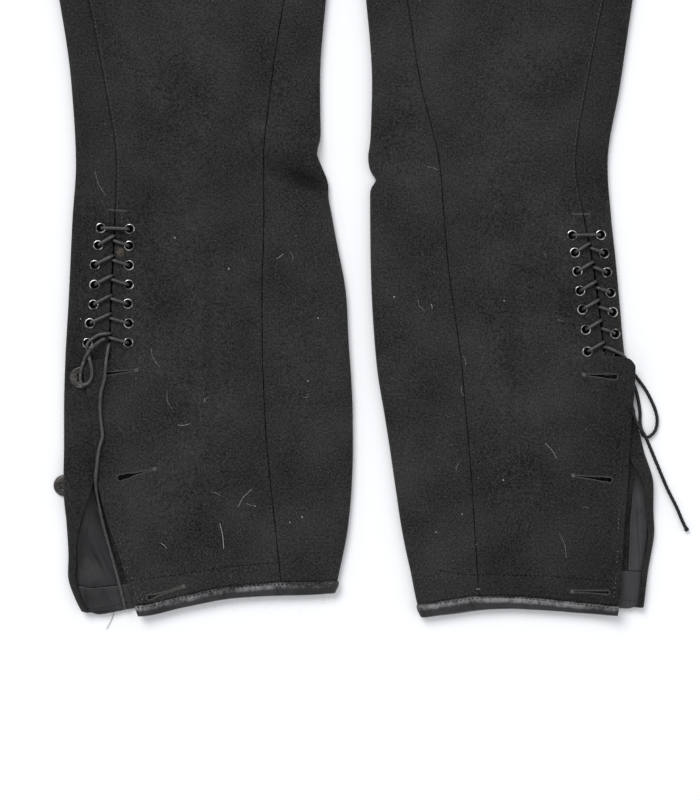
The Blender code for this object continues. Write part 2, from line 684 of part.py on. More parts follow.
def make_trims(leg, satin, lining):
    name = leg["name"]
    off = CLOTH / 2 + SEAM_GAP + STRIP / 2
    front = hem_run(leg, front_point, list(range(-FLAP_COLUMNS, FRONT_COLUMNS + 1)))
    last = len(BACK_COLUMNS) - 1
    turned = hem_run(leg, back_point, list(range(last, last - INNER_WRAP - 1, -1)))
    middles, ups, normals = (a + b[:-1] for a, b in zip(front, turned))
    section = [
        (BINDING_FRONT, off), (0.2, off), (-off * 0.95, off * 0.45), (-off * 0.95, -off * 0.45),
        (0.2, -off), (BINDING_BACK, -off),
    ]
    strip(f"hem_binding_{name}", middles, ups, normals, section, satin)

    inwards = Vector((0, 0, off))
    first = OUTER_WRAP + QUARTER
    rows = [up for up in ROWS if up <= leg["facing_top"]]
    grid = {}
    for c in range(first, first + FLAT + 1):
        hem = back_point(leg, 0, c)
        line = [hem + Vector((0, -off * 0.8, 0.1)), hem + Vector((0, -off * 0.75, off * 0.6))]
        line += [back_point(leg, up - 0.7 * (up == rows[-1]) + 0.2 * (up == 0), c) + inwards for up in rows]
        for r, point in enumerate(line):
            grid[r, c] = placed(leg, point)
    add_cloth(f"hem_facing_{name}", grid, STRIP, satin)

    rows = [up for up in ROWS if leg["facing_top"] <= up <= LINING_TOP]
    grid = {}
    for r, up in enumerate(rows):
        for c in range(first, first + 5):
            grid[r, c] = placed(leg, back_point(leg, up + 0.3 * (r == 0), c) + inwards)
    add_cloth(f"placket_lining_{name}", grid, STRIP, lining)


def make_waistband(leg, wool):
    """Half of the waistband, from centre front over the outer fold to centre back."""
    rows = [WAIST_SEAM + 0.3, (WAIST_SEAM + LENGTH) / 2, LENGTH]
    grid = {}
    for r, up in enumerate(rows):
        outer = station(leg, "outer", up) - CLOTH / 2
        top, fold, round_, under = outer_top(leg, up)
        section = [(SEAM_GAP / 2 + (outer - round_ - SEAM_GAP / 2) * k / 6, top) for k in range(7)]
        for k in (0.6, 0.25, 0.06, 0):
            section.append((outer - k * round_, wrap_z(k * round_, round_, top, fold)))
        for k in (1, 2):
            angle = math.pi / 4 * k
            section.append((outer - under * (1 - math.cos(angle)), fold - (fold - LOW) * math.sin(angle)))
        reach = outer - under
        section += [(reach + (SEAM_GAP / 2 - reach) * k / 6, LOW) for k in range(1, 7)]
        for c, (out, z) in enumerate(section):
            grid[r, c] = placed(leg, Vector((out, up, z)))
    return add_cloth(f"waistband_{leg['name']}", grid, CLOTH, wool)


def make_fly(wool, finish):
    """The underlap below the centre front, and the waist button on the left band."""
    width, height, thickness = UNDERLAP
    z = TOP - CLOTH / 2 - SEAM_GAP - thickness / 2
    grid = {}
    for r in range(5):
        for c in range(5):
            x = width * (c / 4 - 0.5) * (1 - 0.35 * (r == 0))
            y = LENGTH - height + (height - 2) * r / 4 - MIDDLE
            grid[r, c] = Vector((x, y, z)) * MM
    add_cloth("fly_underlap", grid, thickness, wool)
    centre = Vector((9.0, LENGTH - 20 - MIDDLE, 0))
    frame = Matrix.Translation((centre + Vector((0, 0, TOP + CLOTH / 2 + 0.35))) * MM)
    add_button("waist_button", frame @ Matrix.Scale(MM, 4), WAIST_BUTTON_R, finish)


def add_lace(name, points, finish, roundness):
    """A round lace along some points in metres, of 4 + 2 * roundness sides."""
    curve = bpy.data.curves.new(name, "CURVE")
    curve.dimensions = "3D"
    line = curve.splines.new("POLY")
    line.points.add(len(points) - 1)
    for knot, point in zip(line.points, points):
        knot.co = (*point, 1)
    curve.bevel_depth, curve.bevel_resolution = LACE_D / 2 * MM, roundness
    curve.use_fill_caps = True
    made = bpy.data.objects.new(name, curve)
    made.data.materials.append(finish)
    bpy.context.collection.objects.link(made)
    return made


def slit_point(leg, up, z):
    """A point in the middle of the laced slit, which runs straight between two rows."""
    below = max(row for row in ROWS if row <= up)
    above = min(row for row in ROWS if row > up)
    t = (up - below) / (above - below)
    out = (1 - t) * station(leg, "seam", below) + t * station(leg, "seam", above)
    return placed(leg, Vector((out, up, z + lift(leg, out, up))))


def beside(frame, towards, distance, height):
    """A point at a distance from an eyelet's middle towards another place, and at a height over the cloth."""
    normal = (frame.to_3x3() @ Vector((0, 0, 1))).normalized()
    away = towards - frame.translation
    away = (away - normal * away.dot(normal)).normalized()
    return frame.translation + (away * distance + normal * height) * MM


def strand_in(leg, frame, slit_up):
    """From the slit up over the cloth and into an eyelet's bore."""
    goal = slit_point(leg, slit_up, TOP + LACING_RISE)
    out = (frame.translation - goal).normalized() * MM
    crest = slit_point(leg, slit_up, 10.1) + Vector((out.x, out.y, 0)) * 1.0
    return [
        slit_point(leg, slit_up, 8.2),
        crest,
        beside(frame, goal, 4.2, OVER_FLANGE),
        beside(frame, goal, 1.6, OVER_FLANGE - 0.3),
        beside(frame, goal, 0.3, 2.2),
    ]


def strand_out(leg, frame, slit_up):
    """From an eyelet's bore down inside and along to the slit."""
    goal = slit_point(leg, slit_up, TOP + LACING_RISE)
    inside = beside(frame, goal, 4.4, -2)
    inside.z = (INSIDE_Z + lift(leg, abs(inside.x) / MM, inside.y / MM + MIDDLE)) * MM
    back = (frame.translation - goal).normalized() * MM
    turn = slit_point(leg, slit_up, INSIDE_Z + 0.4) + Vector((back.x, back.y, 0)) * 0.4
    return [beside(frame, goal, 0.1, -1.6), beside(frame, goal, 1.3, -2.9), inside, turn]


def make_lacing(leg, finish):
    """The held lace: a bar over the top pair of eyelets, then two strands that cross through the slit."""
    columns = eyelet_seats(leg)
    ups = (leg["front_eyelets"], leg["back_eyelets"])

    def run(start, crossings):
        points = []
        for k in range(crossings):
            here, there = columns[(start + k) % 2][k], columns[(start + k + 1) % 2][k + 1]
            leftward = there.translation.x < here.translation.x
            up = ups[(start + k + 1) % 2][k + 1].up + (LEFTWARD_DROP if leftward else RIGHTWARD_DROP)
            points += strand_out(leg, here, up)
            points += strand_in(leg, there, up)
        return points

    from_back, from_front = run(1, 5), run(0, 6)
    up = leg["loop_slit"]
    from_back += strand_out(leg, columns[0][5], up)
    from_back += [slit_point(leg, up, 5.6)]
    if leg["held_end"]:
        from_back[-1] = slit_point(leg, up, 8.2)
        from_back += [
            placed(leg, Vector((out, up, z + lift(leg, out, up)))) for out, up, z in leg["held_end"]
        ]
    up = leg["tail_slit"]
    from_front += strand_out(leg, columns[0][6], up) + [slit_point(leg, up, 5.6)]
    bar = []
    for frame, other, order in ((columns[1][0], columns[0][0], 1), (columns[0][0], columns[1][0], -1)):
        steps = [(0.3, 2.2), (1.6, OVER_FLANGE - 0.3), (4.2, OVER_FLANGE)]
        bar += [beside(frame, other.translation, d, h) for d, h in steps][::order]
    add_lace(f"lacing_{leg['name']}", from_back[::-1] + bar + from_front, finish, 1)


def surface_tree():
    """Every visible mesh piece so far, for laying laces on."""
    graph = bpy.context.evaluated_depsgraph_get()
    points, faces = [], []
    for made in bpy.context.scene.objects:
        if made.hide_render or made.type not in ("MESH", "CURVE"):
            continue
        shape = made.evaluated_get(graph)
        mesh = shape.to_mesh()
        start = len(points)
        points += [made.matrix_world @ v.co for v in mesh.vertices]
        faces += [[start + k for k in face.vertices] for face in mesh.polygons]
        shape.to_mesh_clear()
    return BVHTree.FromPolygons(points, faces)


def between(steps):
    """The steps with a point on a smooth curve halfway along each stretch."""
    found = [steps[0]]
    for k in range(len(steps) - 1):
        a, b = steps[k], steps[k + 1]
        if math.hypot(a.out - b.out, a.up - b.up) < 3:
            found.append(b)
            continue
        before, after = steps[max(k - 1, 0)], steps[min(k + 2, len(steps) - 1)]
        mid = [(9 * (a[i] + b[i]) - before[i] - after[i]) / 16 for i in range(2)]
        z = None if a.z is None or b.z is None else (a.z + b.z) / 2
        found += [LaceStep(mid[0], mid[1], (a.over + b.over) / 2, z), b]
    return found


def top_under(tree, place, radius):
    """The highest surface in a disc under a place."""
    heights = [0.0]
    for k in range(9):
        ring = 0 if k == 8 else radius
        angle = math.pi / 4 * k
        start = place + Vector((ring * math.cos(angle), ring * math.sin(angle), 0))
        start.z = 0.05
        hit = tree.ray_cast(start, Vector((0, 0, -1)))[0]
        heights.append(hit.z if hit else 0.0)
    return max(heights)


def lay_lace(name, leg, steps, finish):
    """A free lace laid on whatever lies under it. A step with its own z lies under something."""
    tree, radius, line = surface_tree(), LACE_D / 2, []
    steps = between(steps)
    for step in steps:
        here = placed(leg, Vector((step.out, step.up, step.z or 0)))
        if step.z is None:
            here.z = top_under(tree, here, (radius + 0.35) * MM) + (radius + 0.4 + step.over) * MM
        line.append(here)
    heights = [p.z for p in line]
    for k in range(1, len(line) - 1):
        if steps[k].z is None:
            line[k].z = max(heights[k], 0.45 * (heights[k - 1] + heights[k + 1]))
    kept = [line[0]]
    for k in range(1, len(line) - 1):
        straight = (kept[-1] + line[k + 1]) / 2
        if k % 2 == 0 or (line[k] - straight).length > 0.2 * MM:
            kept.append(line[k])
    return add_lace(name, kept + [line[-1]], finish, 2)


def clear_scene():
    for item in list(bpy.data.objects):
        bpy.data.objects.remove(item, do_unlink=True)


def main():
    clear_scene()
    wool = material("black wool melton", "26262A", 0, 0.95)
    satin = material("black satin binding", "3A3A3E", 0, 0.45)
    lining = material("charcoal lining twill", "3C3C40", 0, 0.6)
    metal = material("blackened brass", "2B2926", 1, 0.35)
    horn = material("dark horn", "2C2623", 0, 0.35)
    cord = material("waxed cotton lace", "4A4B4E", 0, 0.7)
    for leg in (RIGHT, LEFT):
        make_panels(leg, wool)
        make_trims(leg, satin, lining)
        make_eyelets(leg, metal)
        make_buttons(leg, horn)
        make_waistband(leg, wool)
    make_fly(wool, horn)
    for leg in (RIGHT, LEFT):
        make_lacing(leg, cord)
        lay_lace(f"lace_loop_{leg['name']}", leg, leg["loop"], cord)
        lay_lace(f"lace_tail_{leg['name']}", leg, leg["tail"], cord)


main()
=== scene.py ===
"""Dresses the knee breeches: black melton wool laid flat, fronts up, slit and laced at the outer calves.

Sizes here are in millimetres unless a name or comment says metres. "out" is the distance from the
centre line towards a leg's outer side and "up" the height above the lowest point of the hems, so one
set of words describes both legs. The frame is in metres: +X is the wearer's left, +Y the waist, +Z up.
"""

from __future__ import annotations

import logging
import math
import random
import sys
from dataclasses import dataclass, field
from enum import Enum
from typing import Callable, Iterable, NamedTuple, Sequence

import bpy
import numpy as np
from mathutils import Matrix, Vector
from mathutils.bvhtree import BVHTree

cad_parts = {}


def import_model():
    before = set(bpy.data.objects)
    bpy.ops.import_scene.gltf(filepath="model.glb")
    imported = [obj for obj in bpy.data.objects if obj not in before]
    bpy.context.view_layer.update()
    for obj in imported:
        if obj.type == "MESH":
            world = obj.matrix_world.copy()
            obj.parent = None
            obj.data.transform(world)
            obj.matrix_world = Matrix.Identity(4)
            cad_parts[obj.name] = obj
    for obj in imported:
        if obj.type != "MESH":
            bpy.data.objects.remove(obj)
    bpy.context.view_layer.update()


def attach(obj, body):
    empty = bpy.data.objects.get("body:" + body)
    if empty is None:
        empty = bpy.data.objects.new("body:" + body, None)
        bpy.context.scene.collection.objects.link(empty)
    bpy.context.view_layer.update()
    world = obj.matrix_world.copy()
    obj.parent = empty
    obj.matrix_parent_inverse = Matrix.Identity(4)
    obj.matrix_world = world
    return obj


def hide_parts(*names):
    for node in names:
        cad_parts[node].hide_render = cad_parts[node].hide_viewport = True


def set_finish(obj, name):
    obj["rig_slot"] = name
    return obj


LOG = logging.getLogger("breeches")

MM = 0.001
MIDDLE = 447.72  # "up" of the frame's origin
LENGTH, WAIST_SEAM, CROTCH, SLIT_TOP = 895.0, 855.0, 635.0, 302.0
CLOTH, STRIP = 2.0, 0.8  # how thick the wool is, and the satin, facing and lining
CLOTH_EDGE, STRIP_EDGE = 0.8, 0.35  # how far their edges are rounded
SEAM_GAP, SLIT_GAP = 0.3, 0.9  # what parts two cloths at a seam and along the laced slit
PARTED = 0.65  # how much further the slit opens where the lace crosses it
LOW, TOP = CLOTH / 2, 6.2  # the heights of the middles of a leg's lower and upper layer
FOLD_ROUND, UNDER_ROUND = 8.0, 2.8  # how far a fold's round runs in, above and below
TIGHTEST = 1.25  # the smallest radius that the wool is folded to
LINING_TOP, BINDING_BACK = 122.0, 9.0  # the lining's upper end, and the binding's width inside
BUTTON_R, BUTTON_H, WAIST_BUTTON_R = 8.1, 2.4, 8.5
BUTTON_STAND = 0.35  # what the thread leaves between a button and the cloth
BUTTON_CLEAR, LIFT_REACH = 9.6, 30.0  # where the cloth over a button starts to sink, and where it has
LACE_D = 2.6
OVER_FLANGE, INSIDE_Z = 3.7, 3.5  # the lace's height over the cloth at an eyelet, and inside the leg
LEFTWARD_DROP, RIGHTWARD_DROP = 7.1, 3.9  # how far over the next eyelet a strand crosses the slit
# How a lace goes over an eyelet's lip: how far from its middle, and how high over the cloth
DIVE = ((0.85, 0.7), (1.25, 2.4), (2.7, OVER_FLANGE - 0.1), (4.4, OVER_FLANGE))
HAIR_R, FIBRE_R = 0.055, 0.045
BODY = "root"
X_AXIS, Y_AXIS, Z_AXIS = Vector((1, 0, 0)), Vector((0, 1, 0)), Vector((0, 0, 1))
Socket, Colour = bpy.types.NodeSocket, Sequence[float]


def record(name: str, columns: str) -> type:
    """A named tuple of numbers."""
    return NamedTuple(name, [(column, float) for column in columns.split()])


# How far out the parts of a leg's cross-section lie: its outer fold, the back panel's laced edge, the
# line of the seam or slit, the flap's edge, the inner seam and the inner fold
Station = record("Station", "up outer edge seam flap inseam inner")
Hem = record("Hem", "out front back")  # how far up the hem lies
Level = record("Level", "up wrap lip lacing")  # the wrap's height, and what raises the front's edge
Opening = record("Opening", "up turn length reach")
Spot = record("Spot", "out up")


class LaceStep(NamedTuple):
    """A point of a free lace: how far it passes over what lies under it, or its own height."""

    out: float
    up: float
    over: float = 0.0
    z: float | None = None


class Crease(NamedTuple):
    """A soft ridge, or a trough where rise is below 0, from one spot to another."""

    out: float
    up: float
    to_out: float
    to_up: float
    width: float
    rise: float


class Mound(NamedTuple):
    """A broad rise of the cloth, or a hollow where rise is below 0, that fades in all directions."""

    out: float
    across: float
    up: float
    along: float
    rise: float


class Swell(NamedTuple):
    """A place where one column of the section table stands further out than the table says."""

    column: str
    up: float
    reach: float
    more: float


class Hair(NamedTuple):
    """A stray hair or thread on the cloth, with the bow of its middle and its radius."""

    out: float
    up: float
    to_out: float
    to_up: float
    bow: float
    radius: float = HAIR_R


class Stitch(NamedTuple):
    """A running stitch in millimetres: its length, the gap after it, its thread and how deep it lies."""

    length: float
    gap: float
    width: float
    sunk: float = 0.12


TOP_STITCH, HEM_STITCH = Stitch(2.4, 1.0, 0.45), Stitch(2.3, 0.9, 0.5, 0.18)
FLAP_STITCH, PALE_STITCH = Stitch(1.2, 2.1, 0.34, 0.06), Stitch(1.9, 1.3, 0.24, 0.05)
FACING_STITCH, LINING_STITCH = Stitch(2.2, 0.9, 0.42, 0.05), Stitch(1.6, 1.3, 0.36, 0.02)
SATIN_STITCH, BINDING_STITCH = Stitch(1.7, 1.3, 0.56, 0.08), Stitch(1.7, 0.9, 0.42, 0.08)


class Side(Enum):
    """Which side of the frame's centre line a leg lies on."""

    RIGHT = -1
    LEFT = 1


@dataclass(frozen=True)
class LegCut:
    """The measured shape of one leg and of what is sewn to it."""

    name: str
    side: Side
    flap_top: float
    flap_corner: float  # how far the flap's upper corner hangs down
    flap_round: float
    curl: float  # how far the flap's edge stands off the cloth under it
    facing_top: float
    stations: Sequence[Station]
    hems: Sequence[Hem]
    levels: Sequence[Level]
    front_eyelets: Sequence[Spot]
    back_eyelets: Sequence[Spot]
    buttons: Sequence[Spot]
    buttons_on_top: int  # how many of them show over the flap, counted from the top
    buttonholes: Sequence[tuple[Spot, Spot]]  # each from its round end to its barred one
    loop: Sequence[LaceStep]
    tail: Sequence[LaceStep]
    loop_slit: float  # where in the slit the crossed lace meets the loop
    tail_slit: float  # and the tail
    held_end: Sequence[tuple[float, float, float]]  # how it goes on from there: out, up and height
    swells: Sequence[Swell]
    # the half-widths of each buttonhole's slit at its eye and at 0.2, 0.4, 0.7 and all of its length
    slots: Sequence[tuple[float, ...]]
    binding: float  # how wide the binding is on the front
    widening: float  # how much wider it gets towards its inner end, as a share
    creases: Sequence[Crease]
    under_creases: Sequence[Crease]
    hairs: Sequence[Hair]
    specks: Sequence[Spot]


def table(kind: type, *rows: tuple) -> list:
    """Rows of plain numbers as records of one kind."""
    return [kind(*row) for row in rows]


# How the back's fold opens out flat at the crotch: the degrees it still turns, its length and its start
CROTCH_OPENING = table(
    Opening, (600, 180, 8.2, 7.2), (610, 120, 7.2, 7.8), (619, 90, 4.7, 8.4), (629, 45, 6, 8.4),
    (640, 1, 7.7, 8.4), (658, 1, 17.96, 18), (700, 1, 39.96, 40),
)
RIGHT_LOOP = table(
    LaceStep, (176.8, 212.6, 0, 6.1), (177, 212.6, 0, 9.2), (180.4, 212.3, 0.3), (184.9, 211.5, 0.2),
    (189.4, 208.7, 0.2), (192.8, 205.4, 0.3), (193.7, 201.6, 0.3), (192.2, 196.6, 0.8),
    (190.3, 189.2, 1), (189.7, 183.2, 0.3), (190.6, 178.4), (193.4, 174.8), (196.8, 174.4),
    (198.7, 177.8), (198.5, 182.8), (197, 188.4, 1.2), (194.5, 194.9, 3.2), (191.3, 199.9, 3.8),
    (187.6, 203.8, 3.2), (183.4, 207.2, 0.8), (179.8, 208.6, 0.3),
)
RIGHT_TAIL = table(
    LaceStep, (177.1, 204.6, 0, 6.1), (177.3, 204, 0, 9.3), (178.2, 199.4, 1), (179.4, 190, 1.2),
    (180.6, 178), (183.2, 168.2), (184, 153.8), (182.7, 141.9), (182.2, 135.2), (184.6, 126.3),
    (186.4, 112), (187.2, 96.4, 0.3), (184.2, 78.5, 0.3), (178.2, 54.5), (170.2, 25.9), (165.3, 5.8),
)
LEFT_LOOP = table(
    LaceStep, (213.3, 186.9, 0, 3.2), (216.3, 182.8, 0, 2.6), (220.8, 176.8), (225.8, 169.7),
    (230.6, 160.2), (233.2, 153), (234, 146.3), (232.2, 139.2), (227, 134.8), (222.6, 137.6),
    (221, 145.6), (221.2, 151.9), (220.2, 160.2, 0, 1.7), (218.4, 168.6, 0, 1.8),
    (216.3, 174.6, 0, 2.2),
)
LEFT_TAIL = table(
    LaceStep, (215.2, 156), (215.4, 152), (218, 145.8), (223.4, 137.2), (227.5, 129.6), (234.6, 112.9),
    (241.6, 96.2), (248.6, 82.2), (252.8, 72.2), (256.8, 64.2),
)

THIGH = table(
    Station, (400, 206, 181, 181, 181, 56, 19.5), (480, 218, 197, 197, 197, 43, 13.5),
    (560, 233, 216, 216, 216, 25, 7), (580, 237, 221, 221, 221, 17, 5),
    (600, 240, 225, 225, 225, 7.4, 4), (612, 242, 227, 227, 227, 5.7, 3),
    (640, 246, 232, 232, 232, 0.04, 0.04), (700, 254.5, 243, 243, 243, 0.04, 0.04),
    (740, 253, 242, 242, 242, 0.04, 0.04), (790, 243, 232, 232, 232, 0.04, 0.04),
    (855, 215, 205, 205, 205, 0.04, 0.04), (895, 213, 203, 203, 203, 0.04, 0.04),
)

RIGHT_CREASES = table(
    Crease, (164, 28, 128, 32, 2.6, -0.8), (128, 32, 91, 37.5, 2.6, -0.8),
    (91, 37.5, 8, 44, 2.6, -0.8), (101, 262, 100, 108, 3.6, -0.75), (110, 270, 109, 120, 6, 0.35),
    (93, 265, 95, 100, 9, 0.9), (48, 335, 16, 324, 7.5, -3.9), (66, 359, 12, 348, 8.5, 5.6),
    (52, 318, 24, 306, 9, 0.5), (150, 150, 128, 60, 9, 0.35), (30, 250, 44, 150, 10, 0.35),
    (20, 640, 92, 560, 12, 1.1), (12, 612, 74, 500, 9, -0.9), (34, 604, 110, 470, 11, 0.9),
    (30, 690, 150, 648, 15, 1.2), (24, 662, 140, 618, 10, -0.9), (190, 430, 120, 392, 12, 0.7),
    (60, 430, 40, 360, 9, -0.7), (30, 780, 70, 700, 12, 0.8), (120, 840, 128, 760, 8, 0.9),
)
RIGHT_UNDER_CREASES = table(
    Crease, (150, 560, 90, 430, 14, 0.7), (80, 330, 60, 250, 9, 0.6), (120, 700, 180, 640, 15, 0.8),
    (30, 560, 90, 500, 10, 0.7), (150, 250, 130, 150, 10, 0.5),
)
RIGHT_HAIRS = table(
    Hair, (188.2, 334.5, 180, 315.8, 1.5), (52.5, 268.5, 47.2, 272.2, 0.4, 0.11),
    (42, 273.8, 40.5, 267, -1.5), (146.2, 201.8, 138.8, 186.8, 1.8), (126, 144, 117, 145.1, 0.8, 0.1),
    (94.5, 70.5, 91.5, 51, -0.6, 0.16), (81, 82.5, 70.5, 96, -1.2, 0.1), (75, 85.5, 67.5, 83.2, 0.6),
    (138.8, 55.5, 134.2, 51, -0.6, 0.11), (134.2, 169.5, 130.5, 156, 1.5),
    (101.2, 93.8, 93.8, 90.8, -1), (87, 32.2, 85.5, 28.5, 0.2), (32.2, 164.2, 27.8, 168, 1.5),
    (106, 164, 103, 160.5, 1.6), (102.5, 164.5, 106.5, 161, 1.4),
)
RIGHT_SPECKS = table(
    Spot, (128.2, 284.2), (21, 224.2), (28.5, 177), (198.8, 223.5), (42, 71.2), (33, 75), (68.2, 83.2),
    (87.8, 261),
)
LEFT_CREASES = table(
    Crease, (72, 35, 116, 31.6, 2.6, -0.8), (116, 31.6, 198, 27.5, 2.6, -0.8),
    (124.5, 330, 124, 200, 3.6, -0.6), (133, 335, 132, 190, 6, 0.35), (115, 330, 116, 200, 6.5, 0.35),
    (62, 300, 58, 170, 9, 0.4), (150, 140, 132, 50, 9, 0.35), (80, 130, 110, 60, 8, -0.3),
    (18, 648, 84, 572, 12, 1), (14, 618, 86, 520, 9, -0.9), (30, 610, 100, 480, 11, 0.8),
    (26, 700, 160, 664, 14, 1.1), (30, 672, 120, 636, 9, -0.8), (186, 420, 112, 400, 12, 0.6),
    (52, 420, 36, 352, 9, -0.6), (36, 790, 60, 720, 11, 0.8), (126, 842, 118, 770, 8, 0.9),
    (200, 600, 150, 560, 13, 0.7),
)
LEFT_UNDER_CREASES = table(
    Crease, (140, 590, 100, 470, 14, 0.7), (90, 320, 70, 230, 9, 0.6), (110, 720, 190, 680, 15, 0.8),
    (36, 540, 96, 470, 10, 0.6), (160, 240, 150, 140, 10, 0.5),
)
LEFT_HAIRS = table(
    Hair, (60, 337.5, 69, 335.2, 0.8), (63.8, 234.8, 64.5, 231, 0.3, 0.15),
    (54, 237.8, 58.5, 230.2, -1.5), (147.8, 273, 150, 269.2, 0.6), (159, 223.5, 163.5, 223.5, -1.8),
    (87.8, 195.8, 89.2, 188.2, 1.2), (87, 173.2, 88.5, 165.8, -1.4),
    (149.2, 130.5, 158.2, 118.5, 0.8, 0.09), (82.5, 109.5, 84.8, 115.5, 1),
    (159.8, 63, 165, 44.2, 1.6), (177, 82.5, 181.5, 81.8, 0.7), (97.5, 21, 100.5, 21, 0.1, 0.18),
)
LEFT_SPECKS = table(
    Spot, (36, 240), (118.5, 237), (117.8, 102.8), (97.5, 54.4), (87, 77.2), (67.5, 63.8),
)

RIGHT_CUT = LegCut(
    name="right",
    side=Side.RIGHT,
    flap_top=193.5,
    flap_corner=4.0,
    flap_round=5.0,
    curl=2.2,
    facing_top=20,
    stations=table(
        Station, (0, 196, 191.5, 147.8, 155.6, 46.5, 8.2), (15, 203, 198.2, 150.1, 160.1, 47.7, 6.5),
        (33, 207.6, 201.9, 152.6, 165.8, 49.4, 2.8), (50, 208.3, 201.9, 154.9, 170.9, 51.2, 0.3),
        (70, 209.6, 199.3, 158.2, 178.1, 53.3, -2), (98, 211.5, 190, 163.3, 185.2, 56.3, -4.3),
        (125, 211.5, 184.2, 168, 188.3, 58.9, -5.2), (155, 211.5, 180.9, 172.8, 190.7, 61, -5),
        (180, 211, 178.6, 175.6, 196, 62, -3.8), (195, 210.3, 177.5, 177.5, 196.5, 62.7, -2.6),
        (240, 207.7, 175.9, 175.9, 196.5, 62.9, 2), (300, 204.9, 173.1, 173.1, 196.5, 61.5, 10.5),
        (339, 202.5, 172.2, 172.2, 196.5, 61.7, 18),
    )
    + THIGH,
    hems=table(
        Hem, (-10, 20.4, 20.4), (7, 20, 20.6), (28, 18.7, 20.6), (57, 17.9, 20.4), (85, 16, 19.2),
        (122, 9.1, 12.5), (154, 2.6, 8.4), (191, 2.6, 3.2), (197, 2.6, 4.5), (212, 2.6, 8),
    ),
    levels=table(
        Level, (0, 4.6, 0, 0), (86, 4.6, 0, 0), (104, 3.8, 0, 0), (172, 3.8, 0, 0),
        (187, 4.3, 0.6, 0.4), (193.5, 5.4, 1.3, 0.65), (200.5, 6.8, 0, 0.7), (300, 6.9, 0, 0.7),
        (325, 6.2, 0, 0), (895, 6.2, 0, 0),
    ),
    front_eyelets=table(
        Spot, (162, 290.8), (162.3, 278.2), (162.5, 263.6), (162.7, 249.1), (163.4, 234.8),
        (162.7, 220.2), (163, 205.6),
    ),
    back_eyelets=table(
        Spot, (183.8, 291.5), (185.6, 278.6), (188.2, 263.7), (188.4, 248.9), (189.2, 234.1),
        (191.8, 220.2), (193.6, 205.4),
    ),
    buttons=table(Spot, (198.8, 179.7), (212, 98.4), (185, 15)),
    buttons_on_top=1,
    buttonholes=[
        (Spot(181.6, 182.2), Spot(157.1, 185.0)),
        (Spot(169.0, 104.5), Spot(143.5, 111.0)),
        (Spot(147.1, 14.9), Spot(122.0, 22.8)),
    ],
    loop=RIGHT_LOOP,
    tail=RIGHT_TAIL,
    loop_slit=212.6,
    tail_slit=204.6,
    held_end=[],
    swells=table(
        Swell, ("inner", 348, 8, 3.4), ("inner", 326, 9, -2.6), ("inner", 245, 30, -2.3),
        ("inner", 28, 26, 2.4), ("outer", 190, 300, 0.55), ("outer", 27, 12, 1.3),
        ("edge", 27, 14, 0.9),
    ),
    slots=[(1.1, 1.05, 0.85, 0.55, 0.3), (2.4, 2.1, 0.85, 0.38, 0.22), (1.9, 0.6, 0.35, 0.28, 0.2)],
    binding=6.4,
    widening=0.2,
    creases=RIGHT_CREASES,
    under_creases=RIGHT_UNDER_CREASES,
    hairs=RIGHT_HAIRS,
    specks=RIGHT_SPECKS,
)

